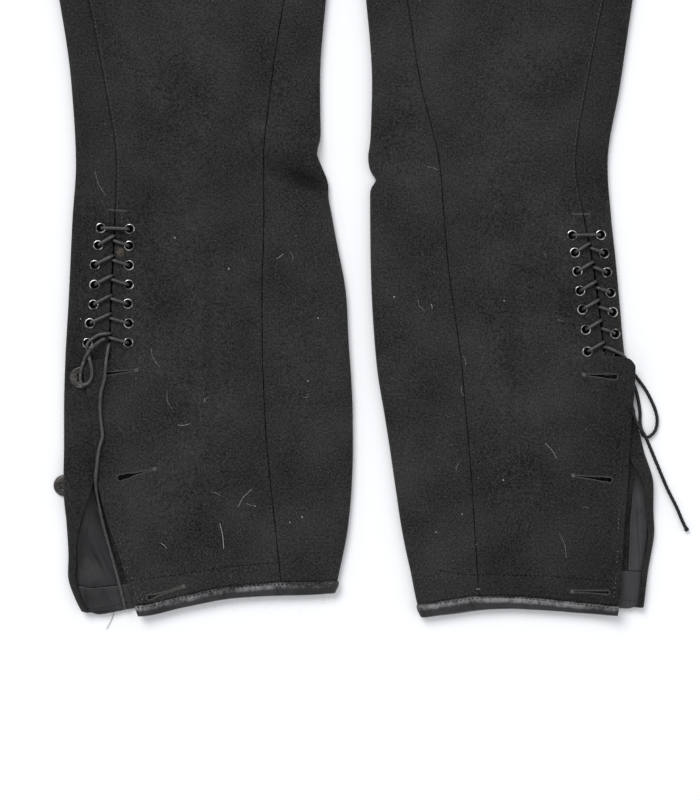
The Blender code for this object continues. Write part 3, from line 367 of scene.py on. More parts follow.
LEFT_CUT = LegCut(
    name="left",
    side=Side.LEFT,
    flap_top=195.5,
    flap_corner=3.6,
    flap_round=5.0,
    curl=2.0,
    facing_top=30,
    stations=table(
        Station, (0, 222.6, 217.4, 189, 202.9, 100.5, 56.2),
        (15, 224.4, 219.4, 189.7, 205.5, 99.8, 52.2), (33, 226.3, 221.3, 190.5, 206.5, 98.5, 48.7),
        (50, 228, 222.9, 191.2, 207.5, 97.5, 44.9), (70, 230.8, 225, 192.1, 208.6, 96.2, 41.1),
        (98, 230.8, 222.5, 193.3, 210.5, 94.6, 37), (125, 223.7, 209.4, 194.4, 212.3, 92.5, 33.1),
        (155, 217, 200.3, 195, 215.1, 89.7, 28.5), (180, 211, 195.8, 194.9, 216.3, 87.7, 24.5),
        (196, 209, 193.8, 193.8, 216.3, 85.9, 22.9), (240, 205.1, 188.7, 188.7, 216.3, 79.7, 20.1),
        (270, 202.3, 184.2, 184.2, 216.3, 76.1, 18.9), (300, 199.1, 178.3, 178.3, 216.3, 73.6, 18.3),
        (339, 196.5, 172.2, 172.2, 216.3, 70.4, 18),
    )
    + THIGH,
    hems=table(
        Hem, (40, 2.3, 2.3), (56, 2, 1.8), (69, 3.5, 2.4), (85, 5.8, 4), (98.5, 7.6, 6),
        (121.6, 8.6, 7.9), (142.7, 7.6, 8.4), (184.8, 4.3, 8.3), (204, 3.2, 8.2), (224, 3.2, 6.6),
    ),
    levels=table(
        Level, (0, 4.6, 0, 0), (92, 4.6, 0, 0), (110, 3.8, 0, 0), (163, 3.8, 0.1, 0),
        (178, 5.2, 1.5, 0.2), (189, 6.8, 3.3, 0.6), (196, 6.9, 3.7, 0.7), (201, 6.9, 0, 0.7),
        (298, 6.9, 0, 0.7), (325, 6.2, 0, 0), (895, 6.2, 0, 0),
    ),
    front_eyelets=table(
        Spot, (169.4, 286.1), (171.4, 273.1), (173.2, 259.1), (175.2, 244.5), (177, 230.6),
        (179.5, 215.4), (180.8, 199),
    ),
    back_eyelets=table(
        Spot, (190.8, 286.4), (193.4, 272.6), (195.4, 258.2), (198, 243), (199.6, 228.5),
        (201.4, 212.3), (203.4, 195.9),
    ),
    buttons=table(Spot, (205.5, 179), (216.7, 98), (207, 19)),
    buttons_on_top=0,
    buttonholes=[
        (Spot(200.8, 180.0), Spot(178.3, 181.7)),
        (Spot(197.3, 102.9), Spot(170.4, 106.0)),
        (Spot(195.5, 18.8), Spot(169.7, 19.2)),
    ],
    loop=LEFT_LOOP,
    tail=LEFT_TAIL,
    loop_slit=202.4,
    tail_slit=198.0,
    held_end=[
        (195.4, 202.0, 10.2), (199.0, 200.4, 10.8), (203.0, 198.4, 11.0), (205.8, 196.9, 10.3),
        (208.5, 194.6, 8.0), (211.2, 191.0, 4.6), (213.4, 187.8, 1.6),
    ],
    swells=table(
        Swell, ("inner", 328, 5, 4.4), ("inner", 345, 8, -1.5), ("inner", 230, 60, -0.8),
        ("outer", 54, 17, 1.9), ("edge", 54, 17, 1.5),
    ),
    slots=[(2.0, 1.8, 1.15, 0.7, 0.35), (1.9, 1.65, 1.0, 0.6, 0.3), (1.3, 1.05, 0.8, 0.5, 0.3)],
    binding=5.4,
    widening=0.45,
    creases=LEFT_CREASES,
    under_creases=LEFT_UNDER_CREASES,
    hairs=LEFT_HAIRS,
    specks=LEFT_SPECKS,
)


# The calf's and the thigh's fullness, and the hollow below the knee
MOUNDS = table(Mound, (30, 22, 190, 70, 0.35), (120, 40, 700, 60, 0.4), (42, 16, 345, 24, -0.55))


def eased(t: np.ndarray | float) -> np.ndarray:
    """A smooth step from 0 to 1."""
    t = np.clip(t, 0.0, 1.0)
    return t * t * (3 - 2 * t)


def hermite(t: np.ndarray, ends: tuple, tangents: tuple) -> np.ndarray:
    """Places on cubic curves.

    Args:
        t: the share of the way along each curve.
        ends: the curves' starts and ends.
        tangents: how far each would run at the pace of its start, and of its end.

    Returns:
        The places.
    """
    start, end = ends
    return (
        (2 * t**3 - 3 * t**2 + 1) * start
        + (t**3 - 2 * t**2 + t) * tangents[0]
        + (3 * t**2 - 2 * t**3) * end
        + (t**3 - t**2) * tangents[1]
    )


def value_at(rows: Sequence[tuple], column: str, at: np.ndarray | float) -> np.ndarray:
    """Reads a table's column between its rows, on a smooth curve that never overshoots.

    Args:
        rows: the table, whose first column is the place.
        column: the name of the column to read.
        at: one place or an array of places.

    Returns:
        The column's value at each place.
    """
    places = np.array([row[0] for row in rows], float)
    values = np.array([getattr(row, column) for row in rows], float)
    slopes = np.diff(values) / np.diff(places)
    before, after = slopes[:-1], slopes[1:]
    same = before * after > 0
    inner = np.where(same, 2 * before * after / np.where(same, before + after, 1.0), 0.0)
    tangents = np.concatenate([slopes[:1], inner, slopes[-1:]])
    at = np.clip(at, places[0], places[-1])
    i = np.clip(np.searchsorted(places, at, side="right") - 1, 0, len(rows) - 2)
    span = places[i + 1] - places[i]
    t = (at - places[i]) / span
    return hermite(t, (values[i], values[i + 1]), (span * tangents[i], span * tangents[i + 1]))


def spread(*stretches: tuple[float, float, float]) -> np.ndarray:
    """Places along a line, from (start, end, step) stretches that follow each other."""
    found = [np.linspace(a, b, max(2, round((b - a) / step) + 1))[:-1] for a, b, step in stretches]
    return np.concatenate([*found, [stretches[-1][1]]])


def smooth_line(points: np.ndarray, step: float) -> np.ndarray:
    """A smooth curve through some points, with a point every step or so.

    Args:
        points: the points, an array of rows of 2 or 3 numbers.
        step: the distance between the points of the result.

    Returns:
        The curve's points, evenly spaced.
    """
    points = np.asarray(points, float)
    keep = np.concatenate([[True], np.linalg.norm(np.diff(points, axis=0), axis=1) > 1e-6])
    points = points[keep]
    lengths = np.sqrt(np.linalg.norm(np.diff(points, axis=0), axis=1))
    knots = np.concatenate([[0.0], np.cumsum(lengths)])
    tangents = np.gradient(points, knots, axis=0, edge_order=1)
    at = np.linspace(0, knots[-1], max(8, int(len(points) * 40)))
    i = np.clip(np.searchsorted(knots, at, side="right") - 1, 0, len(points) - 2)
    span = (knots[i + 1] - knots[i])[:, None]
    t = ((at - knots[i])[:, None]) / span
    line = hermite(t, (points[i], points[i + 1]), (span * tangents[i], span * tangents[i + 1]))
    return resampled(line, step)


def distances(line: np.ndarray) -> np.ndarray:
    """How far along a line each of its points lies."""
    return np.concatenate([[0.0], np.cumsum(np.linalg.norm(np.diff(line, axis=0), axis=1))])


def unit(rows: np.ndarray) -> np.ndarray:
    """Rows of numbers as directions of length 1."""
    return rows / np.linalg.norm(rows, axis=1, keepdims=True)


def heading(turn: float) -> np.ndarray:
    """The direction at an angle from the first axis."""
    return np.array([math.cos(turn), math.sin(turn)])


def leftwards(way: np.ndarray) -> np.ndarray:
    """A direction turned by a right angle."""
    return np.array([-way[1], way[0]])


def resampled(line: np.ndarray, step: float) -> np.ndarray:
    """The same line with evenly spaced points, about a step apart.

    Args:
        line: its points, as rows.
        step: the distance between the new points.

    Returns:
        The new points.
    """
    along = distances(line)
    count = max(2, round(along[-1] / step) + 1)
    at = np.linspace(0, along[-1], count)
    return np.stack([np.interp(at, along, line[:, k]) for k in range(line.shape[1])], axis=1)


def creased(creases: Sequence[Crease], out: np.ndarray, up: np.ndarray) -> np.ndarray:
    """How far a set of soft ridges and troughs lifts the cloth at some places.

    Args:
        creases: the ridges and troughs.
        out: places out.
        up: places up.

    Returns:
        The rise at each place.
    """
    total = np.zeros(np.broadcast(out, up).shape)
    for crease in creases:
        run = np.array([crease.to_out - crease.out, crease.to_up - crease.up])
        share = ((out - crease.out) * run[0] + (up - crease.up) * run[1]) / (run @ run)
        t = np.clip(share, 0, 1)
        away = np.hypot(out - crease.out - t * run[0], up - crease.up - t * run[1])
        fade = 0.35 + 0.65 * np.sin(math.pi * np.clip(t, 0.02, 0.98))
        total = total + crease.rise * fade * np.exp(-((away / crease.width) ** 2))
    return total


class Group(Enum):
    """The stretches of a back panel's cross-section, from its outer edge round to its inner one."""

    WRAP_FLAT = 1
    WRAP_ROUND = 2
    OUTER_UNDER = 3
    FLAT = 4
    INNER_UNDER = 5
    INNER_ROUND = 6
    INNER_FLAT = 7


class LegForm:
    """The surfaces of one leg's cloth, in millimetres, worked out from its cut."""

    def __init__(self, cut: LegCut) -> None:
        """Keeps the cut and its mirrored places.

        Args:
            cut: the leg's measured shape.
        """
        self.cut = cut
        self.side = cut.side.value
        leftward = cut.side is Side.RIGHT
        drops = (RIGHTWARD_DROP, LEFTWARD_DROP) if leftward else (LEFTWARD_DROP, RIGHTWARD_DROP)
        columns = (cut.front_eyelets[1:], cut.back_eyelets[1:])
        self.crossings = [s.up + drop for spots, drop in zip(columns, drops) for s in spots]

    def station(self, column: str, up: np.ndarray | float) -> np.ndarray:
        """One column of the cut's section table at a height, with its swells and dents.

        Args:
            column: the column's name.
            up: heights up the leg.

        Returns:
            How far out it lies.
        """
        found = value_at(self.cut.stations, column, up)
        for swell in self.cut.swells:
            if swell.column == column:
                found = found + swell.more * np.exp(-(((up - swell.up) / swell.reach) ** 2))
        return found

    def level(self, column: str, up: np.ndarray | float) -> np.ndarray:
        """One column of the cut's level table at a height."""
        return value_at(self.cut.levels, column, up)

    def placed(self, points: np.ndarray) -> np.ndarray:
        """Points in out, up and height, as points of the frame in metres.

        Args:
            points: rows of out, up and height.

        Returns:
            The points in frame metres.
        """
        moved = np.array(points, float)
        moved[..., 0] *= self.side
        moved[..., 1] -= MIDDLE
        return moved * MM

    def lift(self, out: np.ndarray, up: np.ndarray) -> np.ndarray:
        """How far everything rises over the buttons that lie under the cloth.

        Args:
            out: places out.
            up: places up.

        Returns:
            The rise at each place.
        """
        rises = [np.zeros(np.broadcast(out, up).shape)]
        for spot in self.cut.buttons[self.cut.buttons_on_top :]:
            away = np.hypot(out - spot.out, up - spot.up)
            rises.append(1 - eased((away - BUTTON_CLEAR) / (LIFT_REACH - BUTTON_CLEAR)))
        return (BUTTON_H + BUTTON_STAND + 0.1) * np.max(rises, axis=0)

    def relief(self, out: np.ndarray, up: np.ndarray) -> np.ndarray:
        """The folds of the upper layer: the broad ones, then the smaller creases.

        Args:
            out: places out.
            up: places up.

        Returns:
            The rise at each place.
        """
        # A long ridge down the leg's middle fades out at the hem and above the knee
        broad = 0.45 * (np.exp(-(((out - 118) / 26) ** 2)) * eased(up / 90) * eased((560 - up) / 160))
        for mound in MOUNDS:
            away = -(((out - mound.out) / mound.across) ** 2) - ((up - mound.up) / mound.along) ** 2
            broad = broad + mound.rise * np.exp(away)
        return broad + creased(self.cut.creases, out, up)

    def half_gap(self, up: np.ndarray) -> np.ndarray:
        """Half of what parts front and back at the outseam: a seam above, the laced slit below.

        Args:
            up: heights up the leg.

        Returns:
            Half the gap at each.
        """
        open_ = SEAM_GAP / 2 + (SLIT_GAP - SEAM_GAP) / 2 * (1 - eased((up - SLIT_TOP + 4) / 8))
        for crossing in self.crossings:
            open_ = open_ + PARTED * np.exp(-(((up - crossing) / 3.0) ** 2))
        return open_

    def seam_half(self, up: np.ndarray) -> np.ndarray:
        """Half the inner seam's width: the two cloths pull apart unevenly over its stitches."""
        return SEAM_GAP / 2 + 0.09 + 0.06 * np.sin(up / 5.3) + 0.04 * np.sin(up / 2.1 + 1)

    def sheared(self, up: np.ndarray, out: np.ndarray, column: str) -> np.ndarray:
        """Heights bent near the hem, so that the lowest row follows it."""
        bend = value_at(self.cut.hems, column, out) * np.clip(1 - up / 110, 0, 1) ** 1.5
        return up + bend

    def outer_top(self, up: np.ndarray) -> tuple[np.ndarray, ...]:
        """The outer wrap's level, its fold's height and its roundness above and below.

        Args:
            up: heights up the leg.

        Returns:
            The level, the fold's height, and both roundnesses.
        """
        top = self.level("wrap", up)
        width = self.station("outer", up) - LOW - self.station("edge", up)
        roundest = ((top - LOW) / 2) ** 2 / TIGHTEST
        round_ = np.minimum(np.minimum(FOLD_ROUND, 0.8 * width), roundest)
        return top, (LOW + top) / 2, round_, np.minimum(UNDER_ROUND, roundest)

    def section(self, group: Group, t: np.ndarray, up: np.ndarray) -> tuple[np.ndarray, np.ndarray]:
        """out and height of the back panel's middle.

        Args:
            group: the stretch of the cross-section.
            t: the share of the way along that stretch.
            up: the heights up the leg, of the same shape as t.

        Returns:
            The distance out and the height over the table.
        """
        outer = self.station("outer", up) - CLOTH / 2
        inner = self.station("inner", up) + CLOTH / 2
        top, fold, round_, under = self.outer_top(up)
        if group is Group.WRAP_FLAT:
            slit = self.half_gap(up) * eased((up - self.cut.flap_top + 12) / 3)
            width = outer - self.station("edge", up) - slit
            return outer - (width + (round_ - width) * t), top
        if group is Group.WRAP_ROUND:
            turn = math.pi / 2 * (1 - t)
            return outer - round_ * (1 - np.cos(turn)), fold + (top - fold) * np.sin(turn)
        if group is Group.OUTER_UNDER:
            turn = math.pi / 2 * t
            return outer - under * (1 - np.cos(turn)), fold - (fold - LOW) * np.sin(turn)
        if group is Group.FLAT:
            opened = value_at(CROTCH_OPENING, "reach", up)
            folded = eased((CROTCH_OPENING[0].up - up) / 8)
            reach = folded * (inner + UNDER_ROUND) + (1 - folded) * opened
            return outer - under + (reach - outer + under) * t, LOW + 0 * up
        middle = (LOW + TOP) / 2
        if group is Group.INNER_UNDER:
            turn, along = math.pi / 2 * (1 - t), t / 3
            out = inner + UNDER_ROUND * (1 - np.cos(turn))
            z = middle - (middle - LOW) * np.sin(turn)
        else:
            width = self.station("inseam", up) - self.seam_half(up) - inner
            round_ = np.minimum(UNDER_ROUND, 0.8 * width)
            turn = math.pi / 2 * (t if group is Group.INNER_ROUND else 1)
            out = inner + round_ * (1 - np.cos(turn))
            if group is Group.INNER_FLAT:
                out = inner + round_ + (width - round_) * t
            z = middle + (TOP - middle) * np.sin(turn)
            along = (1 + t) / 3 if group is Group.INNER_ROUND else (2 + t) / 3
        turn = np.radians(value_at(CROTCH_OPENING, "turn", up))
        bend = value_at(CROTCH_OPENING, "length", up) / turn
        open_out = value_at(CROTCH_OPENING, "reach", up) - bend * np.sin(turn * along)
        open_z = LOW + bend * (1 - np.cos(turn * along))
        folded = eased((CROTCH_OPENING[0].up - up) / 8)
        return folded * out + (1 - folded) * open_out, folded * z + (1 - folded) * open_z

    def back_points(self, group: Group, t: np.ndarray, up: np.ndarray) -> np.ndarray:
        """Points of the back panel's middle in out, up and height, for rows up and columns t.

        Args:
            group: the stretch of the cross-section.
            t: shares of the way along it.
            up: heights up the leg.

        Returns:
            The points, rows by columns.
        """
        t, up = np.broadcast_arrays(t[None, :], up[:, None])
        hem = "front" if group in (Group.INNER_ROUND, Group.INNER_FLAT) else "back"
        out, _ = self.section(group, t, up)
        height = self.sheared(up, out, hem)
        out, z = self.section(group, t, height)
        upper = eased((z - 3.6) / 2.2)
        z = z + self.lift(out, height) + upper * self.relief(out, height)
        z = z + (1 - upper) * creased(self.cut.under_creases, out, height)
        return np.stack([out, height, z], axis=-1)

    def front_z(self, out: np.ndarray, up: np.ndarray) -> np.ndarray:
        """The height of the front panel's middle, raised at the lacing and where it lies on something.

        Args:
            out: places out.
            up: places up.

        Returns:
            The height at each place.
        """
        inwards = self.station("seam", up) - out
        z = TOP + self.relief(out, up)
        z = z + self.level("lacing", up) * (1 - eased((inwards - 19) / 26))
        raised = self.level("lip", up) * (1 - eased(inwards / 6))
        if self.cut.buttons_on_top:
            # The flap's corner rides up on the button beside it
            spot = self.cut.buttons[0]
            away = np.hypot(out - spot.out, up - spot.up)
            over_button = 3.0 * (1 - eased((away - 13.0) / 17.0)) * eased((8 - inwards) / 14)
            below = eased((self.cut.flap_top + 2 - up) / 2)
            raised = np.maximum(raised, over_button * below)
        # Below the lacing the flap's edge stands off the cloth under it
        from_edge = self.station("flap", up) - out
        curl = self.cut.curl * (1 - eased((from_edge + 1) / 17)) * eased((158 - up) / 40)
        return z + raised + curl + self.lift(out, up)

    def front_points(self, flap: bool, t: np.ndarray, up: np.ndarray) -> np.ndarray:
        """Points of the front panel's middle in out, up and height.

        Args:
            flap: whether they are the flap's, out from the seam line, or the panel's, in from it.
            t: shares of the way from that line.
            up: heights up the leg.

        Returns:
            The points, rows by columns.
        """
        t, up = np.broadcast_arrays(t[None, :], up[:, None])
        height = up
        for _ in range(3):
            seam = self.station("seam", height)
            if flap:
                out = seam + (self.station("flap", height) - seam) * t
            else:
                below = up <= self.cut.flap_top
                edge = np.where(below, seam, seam - self.half_gap(height))
                inseam = self.station("inseam", height) + self.seam_half(height) * (height < CROTCH)
                out = edge + (inseam - edge) * t
            height = self.sheared(up, out, "front")
        if flap:
            near = eased((up - self.cut.flap_top + 22) / 22)
            height = height - self.cut.flap_corner * t**3 * near
            # The corner is round: the square of cloth there is drawn in to a quarter disc
            width, round_ = self.station("flap", up) - self.station("seam", up), self.cut.flap_round
            u = np.clip((t * width - width + round_) / round_, 0, 1)
            v = np.clip((up - self.cut.flap_top + round_) / round_, 0, 1)
            out = out - round_ * (u - u * np.sqrt(1 - v**2 / 2))
            height = height - round_ * (v - v * np.sqrt(1 - u**2 / 2))
        return np.stack([out, height, self.front_z(out, height)], axis=-1)

    def wrap_spot(self, spot: Spot) -> np.ndarray:
        """The middle of the back panel's outer wrap at a spot, in out, up and height.

        Args:
            spot: a place on the wrap.

        Returns:
            Its out, up and height.
        """
        outer = self.station("outer", spot.up) - CLOTH / 2
        top, fold, round_, _ = self.outer_top(spot.up)
        x = 1 - min(outer - spot.out, round_) / round_
        z = fold + (top - fold) * math.sqrt(max(0.0, 1 - x * x))
        return np.array([spot.out, spot.up, z + self.lift(spot.out, spot.up)])

    def front_spot(self, spot: Spot) -> np.ndarray:
        """The middle of the front panel at a spot, in out, up and height."""
        return np.array([spot.out, spot.up, self.front_z(spot.out, spot.up)])

    def slit_point(self, up: float, z: float) -> Vector:
        """A point in the middle of the laced slit, in frame millimetres."""
        out = float(self.station("seam", up))
        return self.at(out, up, z + float(self.lift(out, up)))

    def at(self, out: float, up: float, z: float) -> Vector:
        """A place in out, up and height, as frame millimetres."""
        return Vector((self.side * out, up - MIDDLE, z))


@dataclass
class Seat:
    """A place on the cloth, in frame millimetres, with its own axes. Z stands out of the cloth."""

    origin: Vector
    x: Vector
    y: Vector
    z: Vector

    @classmethod
    def on(
        cls, form: LegForm, spot: Spot, surface: Callable[[Spot], np.ndarray], reach: float = 2.5
    ) -> Seat:
        """A seat on a surface, its tilt read a reach away on each side.

        Args:
            form: the leg.
            spot: where the seat is.
            surface: gives a spot's out, up and height.
            reach: how far away the tilt is read.

        Returns:
            The seat.
        """

        def point(out: float, up: float) -> Vector:
            """The surface at a place."""
            return form.at(*(float(v) for v in surface(Spot(out, up))))

        across = point(spot.out + reach, spot.up) - point(spot.out - reach, spot.up)
        along = point(spot.out, spot.up + reach) - point(spot.out, spot.up - reach)
        z = across.cross(along).normalized() * form.side
        x = along.cross(z).normalized()
        return cls(point(spot.out, spot.up), x, z.cross(x), z)

    def place(self, points: np.ndarray) -> np.ndarray:
        """Points given in the seat's own millimetres, as frame metres."""
        axes = np.array([self.x, self.y, self.z])
        return (np.asarray(points) @ axes + np.array(self.origin)) * MM

    def fit(self, mesh: Mesh) -> Mesh:
        """A mesh of the seat's own millimetres, as one of frame metres."""
        return Mesh(self.place(mesh.points), mesh.faces, mesh.flat)

    def beside(self, towards: Vector, distance: float, height: float) -> Vector:
        """A point at a distance towards another place and at a height over the cloth's middle.

        Args:
            towards: the other place.
            distance: how far towards it.
            height: how far off the cloth.

        Returns:
            The point, in frame millimetres.
        """
        away = towards - self.origin
        away = (away - self.z * away.dot(self.z)).normalized()
        return self.origin + away * distance + self.z * height


@dataclass
class Mesh:
    """Points in frame metres with faces and, for each point, its place on the flat cloth in metres."""

    points: np.ndarray
    faces: list
    flat: np.ndarray | None = None

    @classmethod
    def joined(cls, meshes: Iterable[Mesh]) -> Mesh:
        """Several meshes as one.

        Args:
            meshes: the meshes.

        Returns:
            One mesh of them all.
        """
        points, faces, flats, start = [], [], [], 0
        for mesh in meshes:
            points.append(mesh.points)
            faces += [[start + k for k in face] for face in mesh.faces]
            flats.append(np.zeros((len(mesh.points), 2)) if mesh.flat is None else mesh.flat)
            start += len(mesh.points)
        return cls(np.concatenate(points), faces, np.concatenate(flats))


def whole_cells(mask: np.ndarray) -> np.ndarray:
    """Which cells of a grid have all four of their corners."""
    return mask[:-1, :-1] & mask[1:, :-1] & mask[:-1, 1:] & mask[1:, 1:]


def cloth_shell(grid: np.ndarray, mask: np.ndarray, thickness: float, inset: float) -> Mesh:
    """A cloth with rounded edges round the points of its middle.

    Args:
        grid: the middle's points in frame metres, rows by columns.
        mask: which points of the grid are there.
        thickness: the cloth's thickness in millimetres.
        inset: how far the flat of the cloth stops short of its edge, in millimetres.

    Returns:
        A closed mesh whose edge lies where the grid's edge did.
    """
    order = -np.ones(mask.shape, int)
    order[mask] = np.arange(mask.sum())
    whole = whole_cells(mask)
    corners = (order[:-1, :-1], order[:-1, 1:], order[1:, 1:], order[1:, :-1])
    quads = np.stack([corner[whole] for corner in corners], axis=-1)
    points = grid[mask]
    steps_across = np.linalg.norm(np.diff(grid, axis=1), axis=2)
    steps_along = np.linalg.norm(np.diff(grid, axis=0), axis=2)
    across = np.concatenate([np.zeros((len(grid), 1)), np.cumsum(steps_across, axis=1)], axis=1)
    along = np.concatenate([np.zeros((1, grid.shape[1])), np.cumsum(steps_along, axis=0)], axis=0)
    flat = np.stack([across - across[:, :1], along], axis=-1)[mask]

    p = points[quads]
    face_normals = np.cross(p[:, 2] - p[:, 0], p[:, 3] - p[:, 1])
    normals = np.zeros_like(points)
    for k in range(4):
        np.add.at(normals, quads[:, k], face_normals)
    normals = unit(normals)

    edges = np.concatenate([quads[:, [k, (k + 1) % 4]] for k in range(4)])
    sides = np.concatenate([face_normals] * 4)
    count = len(points)
    keys, back = edges[:, 0] * count + edges[:, 1], edges[:, 1] * count + edges[:, 0]
    rim = ~np.isin(keys, back)
    edges, sides = edges[rim], sides[rim]
    outwards = unit(np.cross(points[edges[:, 1]] - points[edges[:, 0]], sides))
    away = np.zeros_like(points)
    for k in range(2):
        np.add.at(away, edges[:, k], outwards)
    border = np.unique(edges)
    away[border] = unit(away[border])
    points = points - away * inset * MM

    half = thickness / 2 * MM
    layers = [points + normals * half, points - normals * half]
    turns = (math.pi / 3, math.pi / 9, -math.pi / 9, -math.pi / 3)
    start = {int(v): k for k, v in enumerate(border)}
    for turn in turns:
        out = away[border] * (math.cos(turn) * inset * MM)
        layers.append(points[border] + out + normals[border] * (math.sin(turn) * half))
    faces = quads.tolist() + (quads[:, ::-1] + count).tolist()
    rings = len(turns)
    for a, b in edges.tolist():
        i, j = start[a], start[b]
        strip_a = [a] + [2 * count + k * len(border) + i for k in range(rings)] + [count + a]
        strip_b = [b] + [2 * count + k * len(border) + j for k in range(rings)] + [count + b]
        for k in range(rings + 1):
            faces.append([strip_b[k], strip_a[k], strip_a[k + 1], strip_b[k + 1]])
    flats = np.concatenate([flat, flat, *[flat[border]] * rings])
    return Mesh(np.concatenate(layers), faces, flats)


def lathe(profile: Sequence[tuple[float, float]], sides: int, closed: bool) -> Mesh:
    """A turned shape from (radius, height) pairs, in its own millimetres.

    Args:
        profile: the section, run so that the outside lies to its right.
        sides: how many steps make a turn.
        closed: whether the section is a ring. If not, its ends are capped with flat faces.

    Returns:
        The closed shape.
    """
    turns = np.arange(sides) * 2 * math.pi / sides
    section = np.array(profile, float)
    radii, heights = section[:, None, 0], section[:, None, 1]
    ring = np.stack([radii * np.cos(turns), radii * np.sin(turns), heights + 0 * turns], axis=-1)
    n, faces = len(profile), []
    for k in range(n if closed else n - 1):
        for s in range(sides):
            t, m = (s + 1) % sides, (k + 1) % n
            faces.append([k * sides + s, k * sides + t, m * sides + t, m * sides + s])
    if not closed:
        faces += [list(range(sides))[::-1], [(n - 1) * sides + s for s in range(sides)]]
    round_section, turn = np.meshgrid(np.arange(n) / n, turns / (2 * math.pi), indexing="ij")
    return Mesh(ring.reshape(-1, 3), faces, np.stack([round_section, turn], -1).reshape(-1, 2))


def prism(outline: Sequence[tuple[float, float]], low: float, high: float) -> Mesh:
    """An upright prism over a counter-clockwise outline, in its own millimetres.

    Args:
        outline: its (x, y) corners.
        low: its lower end.
        high: its upper end.

    Returns:
        The closed shape.
    """
    n = len(outline)
    points = np.array([(x, y, z) for z in (low, high) for x, y in outline])
    faces = [list(range(n))[::-1], list(range(n, 2 * n))]
    faces += [[k, (k + 1) % n, n + (k + 1) % n, n + k] for k in range(n)]
    return Mesh(points, faces)


def circle(radius: float, sides: int, x: float = 0.0, y: float = 0.0) -> list[tuple[float, float]]:
    """Points of a circle, counter-clockwise."""
    turns = [2 * math.pi * k / sides for k in range(sides)]
    return [(x + radius * math.cos(a), y + radius * math.sin(a)) for a in turns]


def tube(line: np.ndarray, radius: np.ndarray | float, sides: int, braid: float = 0.0) -> Mesh:
    """A round cord along a line of the frame in metres, its ends closed round.

    Args:
        line: the centreline's points, evenly spaced.
        radius: the radius in millimetres, one for all or one a point.
        sides: how many sides it has.
        braid: how far in millimetres the braid's plaits stand out.

    Returns:
        The closed cord.
    """
    steps = unit(np.gradient(line, axis=0))
    normal = np.cross(steps[0], (0.0, 0.0, 1.0))
    if np.linalg.norm(normal) < 1e-6:
        normal = np.array([1.0, 0.0, 0.0])
    normals = []
    for step in steps:
        normal = normal - step * (normal @ step)
        normal = normal / np.linalg.norm(normal)
        normals.append(normal)
    across = np.array(normals)
    along = distances(line) / MM
    radii = np.broadcast_to(np.asarray(radius, float), (len(line),)).copy()
    radii[0] *= 0.55
    radii[-1] *= 0.55
    turns = np.arange(sides) * 2 * math.pi / sides
    binormals = np.cross(steps, across)
    plait = 2 * math.pi * along[:, None] / 3.4
    wave = np.maximum(np.cos(3 * turns + plait), np.cos(3 * turns - plait))
    reach = (radii[:, None] + braid * (wave - 0.6)) * MM
    cosines, sines = np.cos(turns)[None, :, None], np.sin(turns)[None, :, None]
    ring = line[:, None] + reach[..., None] * (cosines * across[:, None] + sines * binormals[:, None])
    faces = []
    for k in range(len(line) - 1):
        for s in range(sides):
            t = (s + 1) % sides
            faces.append([k * sides + s, (k + 1) * sides + s, (k + 1) * sides + t, k * sides + t])
    last = (len(line) - 1) * sides
    faces += [list(range(sides)), [last + s for s in range(sides)][::-1]]
    flat = np.stack(np.broadcast_arrays(turns[None, :] * radii.mean(), along[:, None]), -1)
    return Mesh(ring.reshape(-1, 3), faces, flat.reshape(-1, 2) * MM)


def linear(hex_colour: str) -> tuple[float, float, float, float]:
    """An sRGB hex colour as a linear colour with alpha.

    Args:
        hex_colour: six hex digits.

    Returns:
        Red, green, blue and an alpha of 1.
    """
    channels = [int(hex_colour[k : k + 2], 16) / 255 for k in (0, 2, 4)]
    made = [c / 12.92 if c <= 0.04045 else ((c + 0.055) / 1.055) ** 2.4 for c in channels]
    return (*made, 1.0)


def fill(node: bpy.types.Node, settings: dict) -> None:
    """Sets a node's own settings and its inputs. An input that is given a socket is linked to it.

    Args:
        node: the node.
        settings: values or sockets by the setting's name, or by the input's name or number.
    """
    for key, value in settings.items():
        if isinstance(key, str) and hasattr(node, key):
            setattr(node, key, value)
        elif isinstance(value, bpy.types.NodeSocket):
            node.id_data.links.new(value, node.inputs[key])
        else:
            node.inputs[key].default_value = value


def add_node(tree: bpy.types.NodeTree, kind: str, settings: dict | None = None) -> bpy.types.Node:
    """Adds a shader node and fills it in.

    Args:
        tree: the node tree it goes into.
        kind: Blender's name for the kind of node, without "ShaderNode".
        settings: what fill takes.

    Returns:
        The node.
    """
    node = tree.nodes.new(f"ShaderNode{kind}")
    fill(node, settings or {})
    return node


